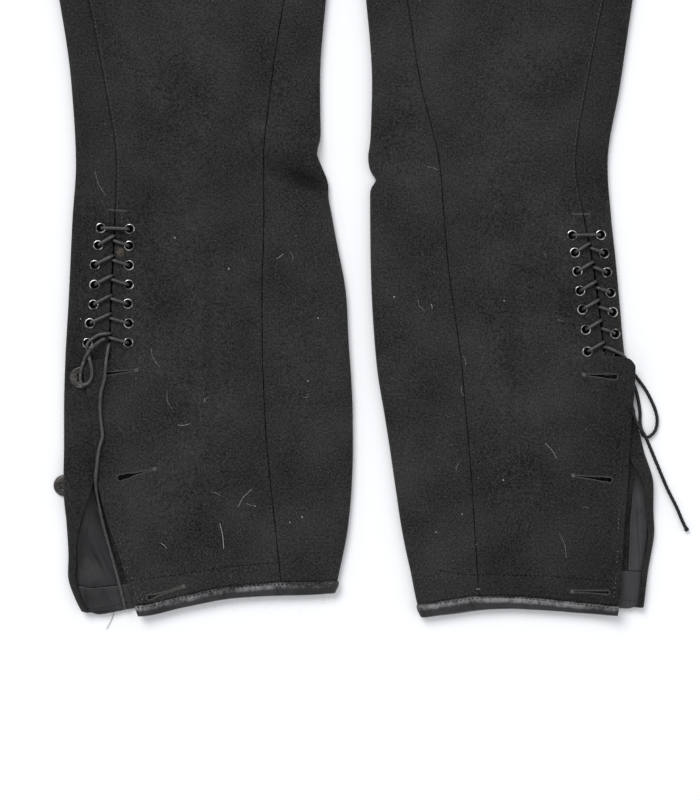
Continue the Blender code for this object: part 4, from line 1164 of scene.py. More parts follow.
class Bench:
    """A material's nodes, added by what they do. Each method returns the socket of its result."""

    def __init__(self, tree: bpy.types.NodeTree) -> None:
        """Keeps the tree, with the surface's place in its object and on its flat cloth.

        Args:
            tree: the material's.
        """
        self.tree = tree
        coordinates = add_node(tree, "TexCoord")
        self.place, self.flat = coordinates.outputs["Object"], coordinates.outputs["UV"]

    def noise(
        self, place: Socket, scale: float, detail: float, roughness: float = 0.5, distortion: float = 0.0
    ) -> Socket:
        """Cloudy noise: its scale is the number of clouds in a metre."""
        values = {"Scale": scale, "Detail": detail, "Roughness": roughness, "Distortion": distortion}
        return add_node(self.tree, "TexNoise", {"Vector": place, **values}).outputs["Fac"]

    def ramp(
        self,
        value: Socket,
        low: float,
        high: float,
        start: float = 0.0,
        end: float = 1.0,
        curve: str = "LINEAR",
    ) -> Socket:
        """A value between low and high, spread over another range.

        Args:
            value: the value.
            low: where the range that counts begins.
            high: where it ends.
            start: the result there at the low end and under it.
            end: the result at the high end and over it.
            curve: how it goes from one to the other.

        Returns:
            The result.
        """
        ends = {"From Min": low, "From Max": high, "To Min": start, "To Max": end}
        settings = {"interpolation_type": curve, "Value": value, **ends}
        return add_node(self.tree, "MapRange", settings).outputs["Result"]

    def math(self, operation: str, *values: Socket | float) -> Socket:
        """A sum of up to three values."""
        settings = {"operation": operation, **dict(enumerate(values))}
        return add_node(self.tree, "Math", settings).outputs["Value"]

    def blend(self, share: Socket, one: Socket | Colour, two: Socket | Colour) -> Socket:
        """A blend of two colours."""
        return add_node(self.tree, "Mix", {"data_type": "RGBA", 0: share, 6: one, 7: two}).outputs[2]

    def scaled(self, colour: Socket | Sequence[float], share: Socket) -> Socket:
        """A colour made darker or lighter."""
        settings = {"operation": "SCALE", 0: colour, "Scale": share}
        return add_node(self.tree, "VectorMath", settings).outputs["Vector"]

    def bump(self, height: Socket, strength: float, distance: float) -> Socket:
        """The normal over a relief, its distance in metres."""
        settings = {"Height": height, "Strength": strength, "Distance": distance}
        return add_node(self.tree, "Bump", settings).outputs["Normal"]

    def with_painted_shade(self, colour: Socket, shade_patches: Sequence[Patch]) -> Socket:
        """A colour darkened inside soft ovals of painted shade.

        Args:
            colour: the colour.
            shade_patches: the ovals.

        Returns:
            The darkened colour.
        """
        for patch in shade_patches:
            oval = {
                "vector_type": "TEXTURE",
                "Vector": self.place,
                "Location": (patch.x * MM, (patch.up - MIDDLE) * MM, 5 * MM),
                "Rotation": (0.0, 0.0, math.radians(patch.turn)),
                "Scale": (patch.long * MM, patch.wide * MM, 0.04),
            }
            place = add_node(self.tree, "Mapping", oval).outputs["Vector"]
            away = add_node(self.tree, "VectorMath", {"operation": "LENGTH", 0: place}).outputs["Value"]
            colour = self.scaled(colour, self.ramp(away, 0.0, 1.3, patch.share, 1.0, "SMOOTHERSTEP"))
        return colour


@dataclass(frozen=True)
class Finish:
    """What a surface is made of, and the record's slot that it belongs to."""

    name: str
    slot: str

    def material(self) -> bpy.types.Material:
        """The finish as a Blender material, made once.

        Returns:
            The material.
        """
        made = bpy.data.materials.get(self.name)
        if made is None:
            made = bpy.data.materials.new(self.name)
            made.use_nodes = True
            fill(made.node_tree.nodes["Principled BSDF"], self.look(Bench(made.node_tree)))
        return made

    def look(self, bench: Bench) -> dict:
        """Adds the finish's nodes.

        Args:
            bench: adds them.

        Returns:
            What the shader's inputs take.
        """
        raise NotImplementedError


class Patch(NamedTuple):
    """A soft oval of painted shade on a cloth, in millimetres."""

    x: float
    up: float
    long: float
    wide: float
    turn: float  # degrees from the X axis to its length
    share: float  # of the colour's lightness left in its middle


@dataclass(frozen=True)
class MeltonWool(Finish):
    """Fulled melton wool: matt and felted, with a short mottled nap and a trace of pale fibres."""

    dark: str = "060606"
    light: str = "3A3A3A"
    fibre: str = "8C8B8A"
    stained: str = "77705F"
    fulling: float = 1.45  # mm between the tufts of the nap
    stain: tuple[float, float, float] | None = None  # its middle, in metres
    shade_patches: tuple[Patch, ...] = ()

    def look(self, bench: Bench) -> dict:
        """Mottled colour, a few pale fibres, an old stain if there is one, painted shade in soft ovals
        and on the outer wraps, and the nap's bump.

        Args:
            bench: adds the nodes.

        Returns:
            What the shader's inputs take.
        """
        place = bench.place
        tufts = bench.noise(place, 1000 / self.fulling, 4.0, 0.7)
        # Patches where the nap has been brushed, tens of millimetres across
        brushed = bench.noise(place, 22.0, 3.0, 0.55)
        mottle = bench.ramp(bench.math("MULTIPLY_ADD", brushed, 0.34, tufts), 0.49, 0.86)
        wool = bench.blend(mottle, linear(self.dark), linear(self.light))
        # Single guard hairs in the cloth, drawn about three times as thick as real ones
        hairs = bench.noise(place, 1300.0, 1.0, distortion=1.5)
        colour = bench.blend(bench.ramp(hairs, 0.70, 0.78, 0.0, 0.6), wool, linear(self.fibre))
        if self.stain:
            away = add_node(bench.tree, "VectorMath", {"operation": "DISTANCE", 0: place, 1: self.stain})
            blot = bench.ramp(away.outputs["Value"], 0.0012, 0.0046, 0.85, 0.0)
            colour = bench.blend(bench.math("MULTIPLY", blot, mottle), colour, linear(self.stained))
        # Painted shade: soft ovals darken the colour over folds and hollows
        colour = bench.with_painted_shade(colour, self.shade_patches)
        # Painted shade: past 0.16 m from the centre line the colour darkens, to 0.78 of it past 0.2 m,
        # so the outer wraps look turned from the light
        sides = add_node(bench.tree, "SeparateXYZ", {0: place}).outputs["X"]
        colour = bench.scaled(colour, bench.ramp(bench.math("ABSOLUTE", sides), 0.16, 0.2, 1.0, 0.78))
        return {
            "Base Color": colour,
            "Normal": bench.bump(tufts, 0.9, 0.0006),
            "Roughness": 0.95,
            "Specular IOR Level": 0.1,
            "Sheen Weight": 0.06,
            "Sheen Roughness": 0.63,
        }


@dataclass(frozen=True)
class WovenSatin(Finish):
    """Cotton-backed satin: long floats that shine along the grain and wear pale at the edges; on the
    binding the pale colour is painted highlight as well as wear.
    """

    dark: str = "0A0A0B"
    worn: str = "8A8A8C"
    wear: float = 0.62
    floats: float = 0.9  # mm between the weave's lines, drawn about four times as coarse as the cloth
    slant: float = 0.0
    roughness: float = 0.3
    gloss: float = 0.5
    ridges: float = 0.35  # how much the weave's lines shade the colour
    bare: float = 0.2  # the lower, the more of the cloth is paled: by wear, and on the binding by painted highlight too
    band: float = 0.0  # mm from a strip's top to the middle of its pale line of painted highlight along the crown, where it has one
    shade_patches: tuple[Patch, ...] = ()

    def look(self, bench: Bench) -> dict:
        """Lines of the weave along the cloth, pale worn spots that on the binding are painted highlight
        too, soft ovals of painted shade, and a broken gloss.

        Args:
            bench: adds the nodes.

        Returns:
            What the shader's inputs take.
        """
        slanted = {"Vector": bench.flat, "Rotation": (0.0, 0.0, self.slant)}
        turned = add_node(bench.tree, "Mapping", slanted).outputs["Vector"]
        weave = {"bands_direction": "X", "Scale": 314 / self.floats, "Distortion": 0.6, "Detail": 2.0}
        lines = add_node(bench.tree, "TexWave", {"Vector": turned, **weave}).outputs["Fac"]
        # Pale spots from two noises: wear on the lining and facing, wear with painted highlight on the
        # binding
        scuffed = bench.noise(bench.place, 210.0, 5.0, 0.7)
        both = bench.math("MULTIPLY", scuffed, bench.noise(bench.place, 30.0, 2.0))
        worn = bench.ramp(both, self.bare, self.bare + 0.15, 0.0, self.wear)
        if self.band:
            # Painted highlight and shade: only the roll's crown keeps its pale colour, while its
            # stitched side and its underside stay dark
            down = add_node(bench.tree, "SeparateXYZ", {0: bench.flat}).outputs["Y"]
            off = bench.math("ABSOLUTE", bench.math("SUBTRACT", down, self.band * MM))
            crown = bench.ramp(off, 0.5 * MM, 2.8 * MM, 1.0, 0.1, "SMOOTHSTEP")
            worn = bench.math("MULTIPLY", worn, crown)
        cloth = bench.blend(worn, linear(self.dark), linear(self.worn))
        shaded = bench.ramp(lines, 0.0, 1.0, 1 - self.ridges, 1 + self.ridges * 0.6)
        return {
            "Base Color": bench.with_painted_shade(bench.scaled(cloth, shaded), self.shade_patches),
            "Roughness": bench.ramp(scuffed, 0.0, 1.0, self.roughness + 0.1, self.roughness - 0.1),
            "Normal": bench.bump(lines, 0.35, 0.0002),
            "Specular IOR Level": self.gloss,
        }


@dataclass(frozen=True)
class SpunThread(Finish):
    """Twisted or braided cotton, waxed or plain: a soft line of light over fine plies."""

    colour: str = "3E3F42"
    ply: float = 0.9  # mm between the plies
    roughness: float = 0.6
    gloss: float = 0.5

    def look(self, bench: Bench) -> dict:
        """Plies of slightly different depth and a dusty unevenness.

        Args:
            bench: adds the nodes.

        Returns:
            What the shader's inputs take.
        """
        plies = bench.noise(bench.place, 1000 / self.ply, 4.0, 0.7)
        return {
            "Base Color": bench.scaled(linear(self.colour)[:3], bench.ramp(plies, 0.3, 0.7, 0.55, 1.5)),
            "Normal": bench.bump(plies, 0.4, 0.0002),
            "Specular IOR Level": self.gloss,
            "Roughness": self.roughness,
        }


@dataclass(frozen=True)
class BlackenedBrass(Finish):
    """Pressed brass, chemically blackened, rubbed bright again where the lace and hand touch it."""

    black: str = "1D1C1C"
    rubbed: str = "C4C2BE"
    lip: float = 0.62  # the share of the way round the section where the flange's lip stands out

    def look(self, bench: Bench) -> dict:
        """Black metal, rubbed bright in broken arcs along the flange's lip.

        Args:
            bench: adds the nodes.

        Returns:
            What the shader's inputs take.
        """
        section = add_node(bench.tree, "SeparateXYZ", {0: bench.flat}).outputs["X"]
        away = bench.math("ABSOLUTE", bench.math("SUBTRACT", section, self.lip))
        lip = bench.ramp(away, 0.05, 0.1, 1.0, 0.0)
        arcs = bench.ramp(bench.noise(bench.place, 260.0, 2.0), 0.42, 0.6, 0.12, 1.0)
        metal = bench.blend(bench.math("MULTIPLY", lip, arcs), linear(self.black), linear(self.rubbed))
        return {"Base Color": metal, "Roughness": 0.3, "Metallic": 1.0}


@dataclass(frozen=True)
class TurnedHorn(Finish):
    """Buffalo horn, turned and polished: near black with brown streaks, its IOR 1.56."""

    dark: str = "171412"
    streak: str = "4C453F"

    def look(self, bench: Bench) -> dict:
        """Streaks along the horn's grain under a dusty polish.

        Args:
            bench: adds the nodes.

        Returns:
            What the shader's inputs take.
        """
        grain = {"Vector": bench.place, "Scale": (1.0, 5.0, 1.0), "Rotation": (0, 0, 0.5)}
        drawn = add_node(bench.tree, "Mapping", grain).outputs["Vector"]
        streaks = bench.ramp(bench.noise(drawn, 120.0, 5.0, distortion=0.6), 0.42, 0.7)
        horn = bench.blend(streaks, linear(self.dark), linear(self.streak))
        return {"Base Color": horn, "Roughness": 0.34, "IOR": 1.56}


@dataclass(frozen=True)
class StudioPaper(Finish):
    """The matt white sheet that the breeches lie on."""

    white: str = "FAFBFC"

    def look(self, bench: Bench) -> dict:
        """Plain matt white, with no nodes of its own.

        Args:
            bench: isn't needed.

        Returns:
            What the shader's inputs take.
        """
        return {"Base Color": linear(self.white), "Roughness": 1.0, "Specular IOR Level": 0.0}


WOOL = MeltonWool("black melton wool, fulled and brushed", "black_wool")
# The right front: a real old stain, and two soft ovals of painted shade along a crease and above the
# knee
STAINED_SHADED_WOOL = MeltonWool(
    "black melton wool with an old stain",
    "black_wool",
    stain=(-168.8 * MM, (273.8 - MIDDLE) * MM, 7.9 * MM),
    shade_patches=(Patch(-103, 205, 100, 7, 90, 0.84), Patch(-113, 325, 62, 34, 5, 0.82)),
)
# Painted shade: soft ovals darken the right back panel in the deep hollow of the fold above the knee
FOLD_SHADED_WOOL = MeltonWool(
    "black melton wool, dark in an old fold",
    "black_wool",
    shade_patches=(Patch(-38, 332, 36, 13, -20, 0.55), Patch(-29, 327, 18, 8, -24, 0.35)),
)
# Painted shade: a broad soft oval darkens the left front near the hem, a narrow one along a crease
SHADED_LOW_WOOL = MeltonWool(
    "black melton wool, dark near the hem",
    "black_wool",
    shade_patches=(Patch(150, 40, 105, 62, -8, 0.82), Patch(125, 225, 95, 6.5, 88, 0.86)),
)
# The binding: a pale crown of painted highlight over wear, and two soft ovals of painted shade on the
# left leg's binding
SATIN = WovenSatin(
    "black satin binding, worn at the edge",
    "black_satin",
    worn="959597",
    wear=0.72,
    bare=0.16,
    band=3.0,
    shade_patches=(Patch(205, 4, 60, 14, 0, 0.55), Patch(92, 6, 34, 14, 0, 0.7)),
)
FACING = WovenSatin(
    "black satin facing",
    "black_satin",
    dark="19191A",
    worn="505052",
    wear=0.42,
    bare=0.06,
    slant=0.9,
    floats=1.0,
    gloss=0.3,
    # Painted shade: soft ovals darken the right facing's folds and its shaded part
    shade_patches=(
        Patch(-183, 24, 9, 1.1, -75, 0.5),
        Patch(-195, 14, 12, 1.6, -80, 0.5),
        Patch(-190, 28, 22, 1.0, 3, 0.5),
        Patch(-180, 4, 24, 2.0, 4, 0.55),
        Patch(-186, 14, 36, 22, 0, 0.6),
    ),
)
# Painted shade: the right leg's lining is a darker copy of the left one's, for the flap's shade, and its
# ovals darken the shade under the flap and along folds
LINING = WovenSatin(
    "charcoal twill lining",
    "charcoal_lining",
    dark="0F0F10",
    worn="424245",
    wear=0.27,
    bare=0.06,
    gloss=0.25,
    floats=1.0,
    slant=0.75,
    roughness=0.5,
    shade_patches=(
        Patch(-188.5, 86, 30, 7.5, -76, 0.25),
        Patch(-199.5, 50, 36, 3.4, -95, 0.45),
        Patch(-194, 68, 18, 1.2, -97, 0.5),
        Patch(-186.1, 42, 18, 1.1, -59, 0.4),
        Patch(-183, 39, 9, 1.0, -50, 0.6),
    ),
)
# Painted light: the left leg's copy of the lining is made lighter than the right one's, and its ovals
# are painted shade at the flap's edge, a fold and the top
LIT_LINING = WovenSatin(
    "charcoal twill lining, rubbed pale",
    "charcoal_lining",
    dark="1A1A1B",
    worn="58585B",
    wear=0.36,
    bare=0.06,
    gloss=0.3,
    floats=0.9,
    slant=0.75,
    ridges=0.4,
    roughness=0.5,
    shade_patches=(
        Patch(209.5, 62, 42, 2.4, 92, 0.4),
        Patch(219.5, 60, 40, 0.8, 93, 0.6),
        Patch(219, 108, 17, 9, 90, 0.25),
    ),
)
LACE = SpunThread("waxed braided cotton lace", "waxed_lace", colour="39393A", ply=3.2, roughness=0.4)
# Painted shade: a darker copy of the same lace, for the left leg
SHADED_LACE = SpunThread(
    "waxed braided cotton lace, unrubbed", "waxed_lace", "18181A", ply=3.2, roughness=0.5, gloss=0.3
)
BLACK_THREAD = SpunThread("black silk sewing thread", "black_wool", colour="141414", ply=0.3, gloss=0.12)
HEM_THREAD = SpunThread(
    "black hemming silk, drawn in", "black_wool", colour="060606", ply=0.3, roughness=0.9, gloss=0.02
)
GREY_THREAD = SpunThread("faded buttonhole twist", "black_wool", colour="424244", ply=0.3)
PALE_THREAD = SpunThread("bleached bar tack thread", "black_wool", colour="62625F", ply=0.3)
PURL_TWIST = SpunThread("buttonhole twist", "black_wool", colour="424243", ply=0.6)
WORN_TWIST = SpunThread("buttonhole twist, faded brown", "black_wool", colour="504D48", ply=0.6)
TACK_THREAD = SpunThread("grey silk bar tack", "black_wool", colour="636363", ply=0.5)
WORN_THREAD = SpunThread("sewing thread worn pale", "black_wool", colour="7C7C7A", ply=0.5)
WHITE_HAIR = SpunThread("pale lint and hairs", "black_wool", colour="BBBAB3", ply=0.5)
NAP = SpunThread("loose nap fibres", "black_wool", colour="6A6A6A", ply=0.5)
# Painted shade: the eyelet at the flap's edge gets a copy with a dark lip, for the shade it lies in
SHADED_BRASS = BlackenedBrass(
    "brass eyelet kept black under the flap", "blackened_brass", rubbed="343331"
)
BRASS = BlackenedBrass("blackened brass, rubbed bright", "blackened_brass")
HORN = TurnedHorn("polished buffalo horn", "dark_horn")
PAPER = StudioPaper("matt white paper", "")


def add_piece(
    name: str, mesh: Mesh, finish: Finish, stands_for: Sequence[str] = (), smooth: bool = True
) -> bpy.types.Object:
    """Adds one maker's piece to the scene, finished, riding and logged.

    Args:
        name: the piece's name.
        mesh: its points and faces, in frame metres.
        finish: what it is made of.
        stands_for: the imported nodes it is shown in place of.
        smooth: whether it is shaded smooth.

    Returns:
        The object.
    """
    data = bpy.data.meshes.new(name)
    data.from_pydata(mesh.points.tolist(), [], mesh.faces)
    data.validate()
    if signed_volume(data) < 0:
        data.flip_normals()
    if mesh.flat is not None:
        loops = np.empty(len(data.loops), np.int32)
        data.loops.foreach_get("vertex_index", loops)
        data.uv_layers.new(name="flat cloth").data.foreach_set("uv", mesh.flat[loops].ravel())
    data.polygons.foreach_set("use_smooth", [smooth] * len(data.polygons))
    data.materials.append(finish.material())
    made = bpy.data.objects.new(name, data)
    bpy.context.scene.collection.objects.link(made)
    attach(made, BODY)
    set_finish(made, finish.slot)
    if stands_for:
        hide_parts(*stands_for)
    LOG.info("%s: %d faces, %s", name, len(data.polygons), finish.name)
    return made


def signed_volume(data: bpy.types.Mesh) -> float:
    """Six times a mesh's volume, below 0 where its faces point inwards.

    Args:
        data: a closed mesh.

    Returns:
        The number.
    """
    data.calc_loop_triangles()
    points = np.empty(len(data.vertices) * 3, np.float32)
    data.vertices.foreach_get("co", points)
    corners = np.empty(len(data.loop_triangles) * 3, np.int32)
    data.loop_triangles.foreach_get("vertices", corners)
    a, b, c = (points.reshape(-1, 3)[corners.reshape(-1, 3)[:, k]] for k in range(3))
    return float(np.einsum("ij,ij->i", a, np.cross(b, c)).sum())


def cut_through(piece: bpy.types.Object, shapes: Mesh) -> None:
    """Cuts closed shapes out of a piece for good.

    Args:
        piece: what is cut.
        shapes: what is taken out of it.
    """
    data = bpy.data.meshes.new("shears")
    data.from_pydata(shapes.points.tolist(), [], shapes.faces)
    if signed_volume(data) < 0:
        data.flip_normals()
    shears = bpy.data.objects.new("shears", data)
    bpy.context.scene.collection.objects.link(shears)
    cut = piece.modifiers.new("cut", "BOOLEAN")
    cut.operation, cut.solver, cut.object = "DIFFERENCE", "EXACT", shears
    bpy.context.view_layer.update()
    graph = bpy.context.evaluated_depsgraph_get()
    whole = piece.data
    piece.data = bpy.data.meshes.new_from_object(piece.evaluated_get(graph), depsgraph=graph)
    piece.modifiers.remove(cut)
    bpy.data.objects.remove(shears)
    bpy.data.meshes.remove(data)
    name = whole.name
    bpy.data.meshes.remove(whole)
    piece.data.name = name


class Surface:
    """The top of some meshes, to lay stitches, hairs and laces on. Its places are in frame metres."""

    def __init__(self, meshes: Iterable[Mesh]) -> None:
        """Keeps the meshes as one tree."""
        whole = Mesh.joined(meshes)
        self.tree = BVHTree.FromPolygons(whole.points.tolist(), whole.faces)

    @classmethod
    def of_pieces(cls, pieces: Iterable[bpy.types.Object]) -> Surface:
        """The top of pieces that are in the scene.

        Args:
            pieces: objects with meshes.

        Returns:
            Their top.
        """
        meshes = []
        for piece in pieces:
            points = np.empty(len(piece.data.vertices) * 3, np.float32)
            piece.data.vertices.foreach_get("co", points)
            faces = [list(face.vertices) for face in piece.data.polygons]
            meshes.append(Mesh(points.reshape(-1, 3).astype(float), faces))
        return cls(meshes)

    def height(self, x: float, y: float, top: float = 0.05, missing: float = 0.0) -> float:
        """The height of the top at a place, or the missing value where there is nothing."""
        hit = self.tree.ray_cast(Vector((x, y, top)), -Z_AXIS)[0]
        return missing if hit is None else hit.z

    def draped(self, form: LegForm, line: np.ndarray, over: np.ndarray | float) -> np.ndarray:
        """A line of (out, up) places laid on the top, some millimetres over it, in frame metres.

        Args:
            form: the leg.
            line: the places.
            over: how far over the top, one for all or one a place.

        Returns:
            The line's points.
        """
        over = np.broadcast_to(over, (len(line),))
        placed = []
        for (out, up), more in zip(line, over):
            x, y = form.side * out * MM, (up - MIDDLE) * MM
            placed.append((x, y, self.height(x, y) + more * MM))
        return np.array(placed)

    def thread(self, form: LegForm, line: np.ndarray, over: np.ndarray | float, thick: tuple) -> Mesh:
        """A thread laid like a draped line, its radius and number of sides given as thick."""
        return tube(self.draped(form, line, over), *thick)


# The stretches of the back panel's cross-section, with how many columns each has
BACK_STRETCHES = (
    (Group.WRAP_FLAT, 9),
    (Group.WRAP_ROUND, 7),
    (Group.OUTER_UNDER, 5),
    (Group.FLAT, 52),
    (Group.INNER_UNDER, 5),
    (Group.INNER_ROUND, 6),
    (Group.INNER_FLAT, 14),
)


def add_cloth(
    piece: tuple[str, Finish, str], grid: np.ndarray, thick: Sequence[float]
) -> bpy.types.Object:
    """Args:
        piece: its name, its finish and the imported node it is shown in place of.
        grid: the points of its middle in frame metres.
        thick: how thick it is and how far its edge is rounded, in millimetres.

    Returns:
        The piece.
    """
    name, finish, node = piece
    mask = np.ones(grid.shape[:2], bool)
    made = add_piece(name, cloth_shell(grid, mask, *thick), finish, [node])
    return made


@dataclass
class LegPanels:
    """The back and front panels of one leg, cut, folded round and holed for eyelets and buttons."""

    form: LegForm
    wool: Finish
    eyelet_hole: float = 3.1  # the holes' radius, mm
    punch: float = 1.9  # how far a hole's cutter reaches to each side of the cloth's middle, mm
    slot: float = 2.2  # and a buttonhole's
    flap_columns: int = 11
    front_columns: int = 62
    surface: Surface | None = field(default=None, init=False)

    def rows(self) -> np.ndarray:
        """The rows of both panels, closer below the knee and at the crotch."""
        top = self.form.cut.flap_top
        return spread((0, top, 2.9), (top, 342, 2.9), (342, 577, 5), (577, 665, 2.9), (665, 854.7, 5.4))

    def build(self) -> None:
        """Builds both panels, keeps their tops for the stitches, and cuts their holes."""
        name = self.form.cut.name
        back = self.back_grid()
        front, mask = self.front_grid()
        whole = np.ones(back.shape[:2], bool)
        meshes = [cloth_shell(*cloth, CLOTH, CLOTH_EDGE) for cloth in ((back, whole), (front, mask))]
        self.surface = Surface(meshes)
        back_name, front_name = f"back_panel_{name}", f"front_panel_{name}"
        # The right back panel's wool carries painted shade in the fold's hollow
        back_wool = FOLD_SHADED_WOOL if self.form.cut.side is Side.RIGHT else WOOL
        back_piece = add_piece(f"{back_name}_wool", meshes[0], back_wool, [back_name])
        front_piece = add_piece(f"{front_name}_wool", meshes[1], self.wool, [front_name])
        fronts, backs = self.eyelet_seats()
        punch = prism(circle(self.eyelet_hole, 18), -self.punch, self.punch)
        holes = [self.buttonhole(k, *ends) for k, ends in enumerate(self.form.cut.buttonholes, 1)]
        cut_through(front_piece, Mesh.joined([seat.fit(punch) for seat in fronts] + holes))
        cut_through(back_piece, Mesh.joined(seat.fit(punch) for seat in backs))

    def back_grid(self) -> np.ndarray:
        """The middle of the back panel's cloth, in frame metres.

        Returns:
            The points, rows by columns.
        """
        rows, parts = self.rows(), []
        for group, count in BACK_STRETCHES:
            t = np.linspace(0, 1, count + 1)
            if group is Group.FLAT:
                t = t**1.25  # closer together under the open slit
            parts.append(self.form.back_points(group, t if group is Group.INNER_FLAT else t[:-1], rows))
        return self.form.placed(np.concatenate(parts, axis=1))

    def front_grid(self) -> tuple[np.ndarray, np.ndarray]:
        """The middle of the front panel's cloth, and which of its points are there.

        Returns:
            The points, rows by columns, and the mask.
        """
        rows = self.rows()
        flap = self.form.front_points(True, np.linspace(1, 0, self.flap_columns + 1)[:-1], rows)
        front = self.form.front_points(False, np.linspace(0, 1, self.front_columns + 1), rows)
        grid = np.concatenate([flap, front], axis=1)
        mask = np.ones(grid.shape[:2], bool)
        mask[rows > self.form.cut.flap_top + 0.01, : self.flap_columns] = False
        return self.form.placed(grid), mask

    def eyelet_seats(self) -> tuple[list[Seat], list[Seat]]:
        """The seats of the front and back columns of eyelets.

        Returns:
            The front's seats and the back's, each from the top down.
        """
        form = self.form
        fronts = [Seat.on(form, spot, form.front_spot) for spot in form.cut.front_eyelets]
        backs = [Seat.on(form, spot, form.wrap_spot) for spot in form.cut.back_eyelets]
        return fronts, backs

    def hole_seat(self, start: Spot, end: Spot) -> tuple[Seat, float]:
        """A buttonhole's seat at its round end, X towards its barred end, and its length.

        Args:
            start: its round end.
            end: its barred end.

        Returns:
            The seat and the length.
        """
        form = self.form
        a = form.at(*(float(v) for v in form.front_spot(start)))
        b = form.at(*(float(v) for v in form.front_spot(end)))
        x = (b - a).normalized()
        y = Z_AXIS.cross(x).normalized()
        return Seat(a, x, y, x.cross(y)), (b - a).length

    def outline(self, number: int, length: float) -> list[tuple[float, float]]:
        """The keyhole of one buttonhole, counted from the top, in its own plane.

        Args:
            number: 1 for the topmost.
            length: the hole's length.

        Returns:
            The (x, y) corners.
        """
        eye_radius, *halves = self.form.cut.slots[number - 1]
        turns = [math.radians(55 + 250 * k / 14) for k in range(15)]
        eye = [(eye_radius * math.cos(a), eye_radius * math.sin(a)) for a in turns]
        taper = [(share * length, half) for share, half in zip((0.2, 0.4, 0.7, 1.0), halves)]
        return [*eye, *((x, -half) for x, half in taper), *(taper[::-1])]

    def buttonhole(self, number: int, start: Spot, end: Spot) -> Mesh:
        """A cutter for one buttonhole."""
        seat, length = self.hole_seat(start, end)
        return seat.fit(prism(self.outline(number, length), -self.slot, self.slot))


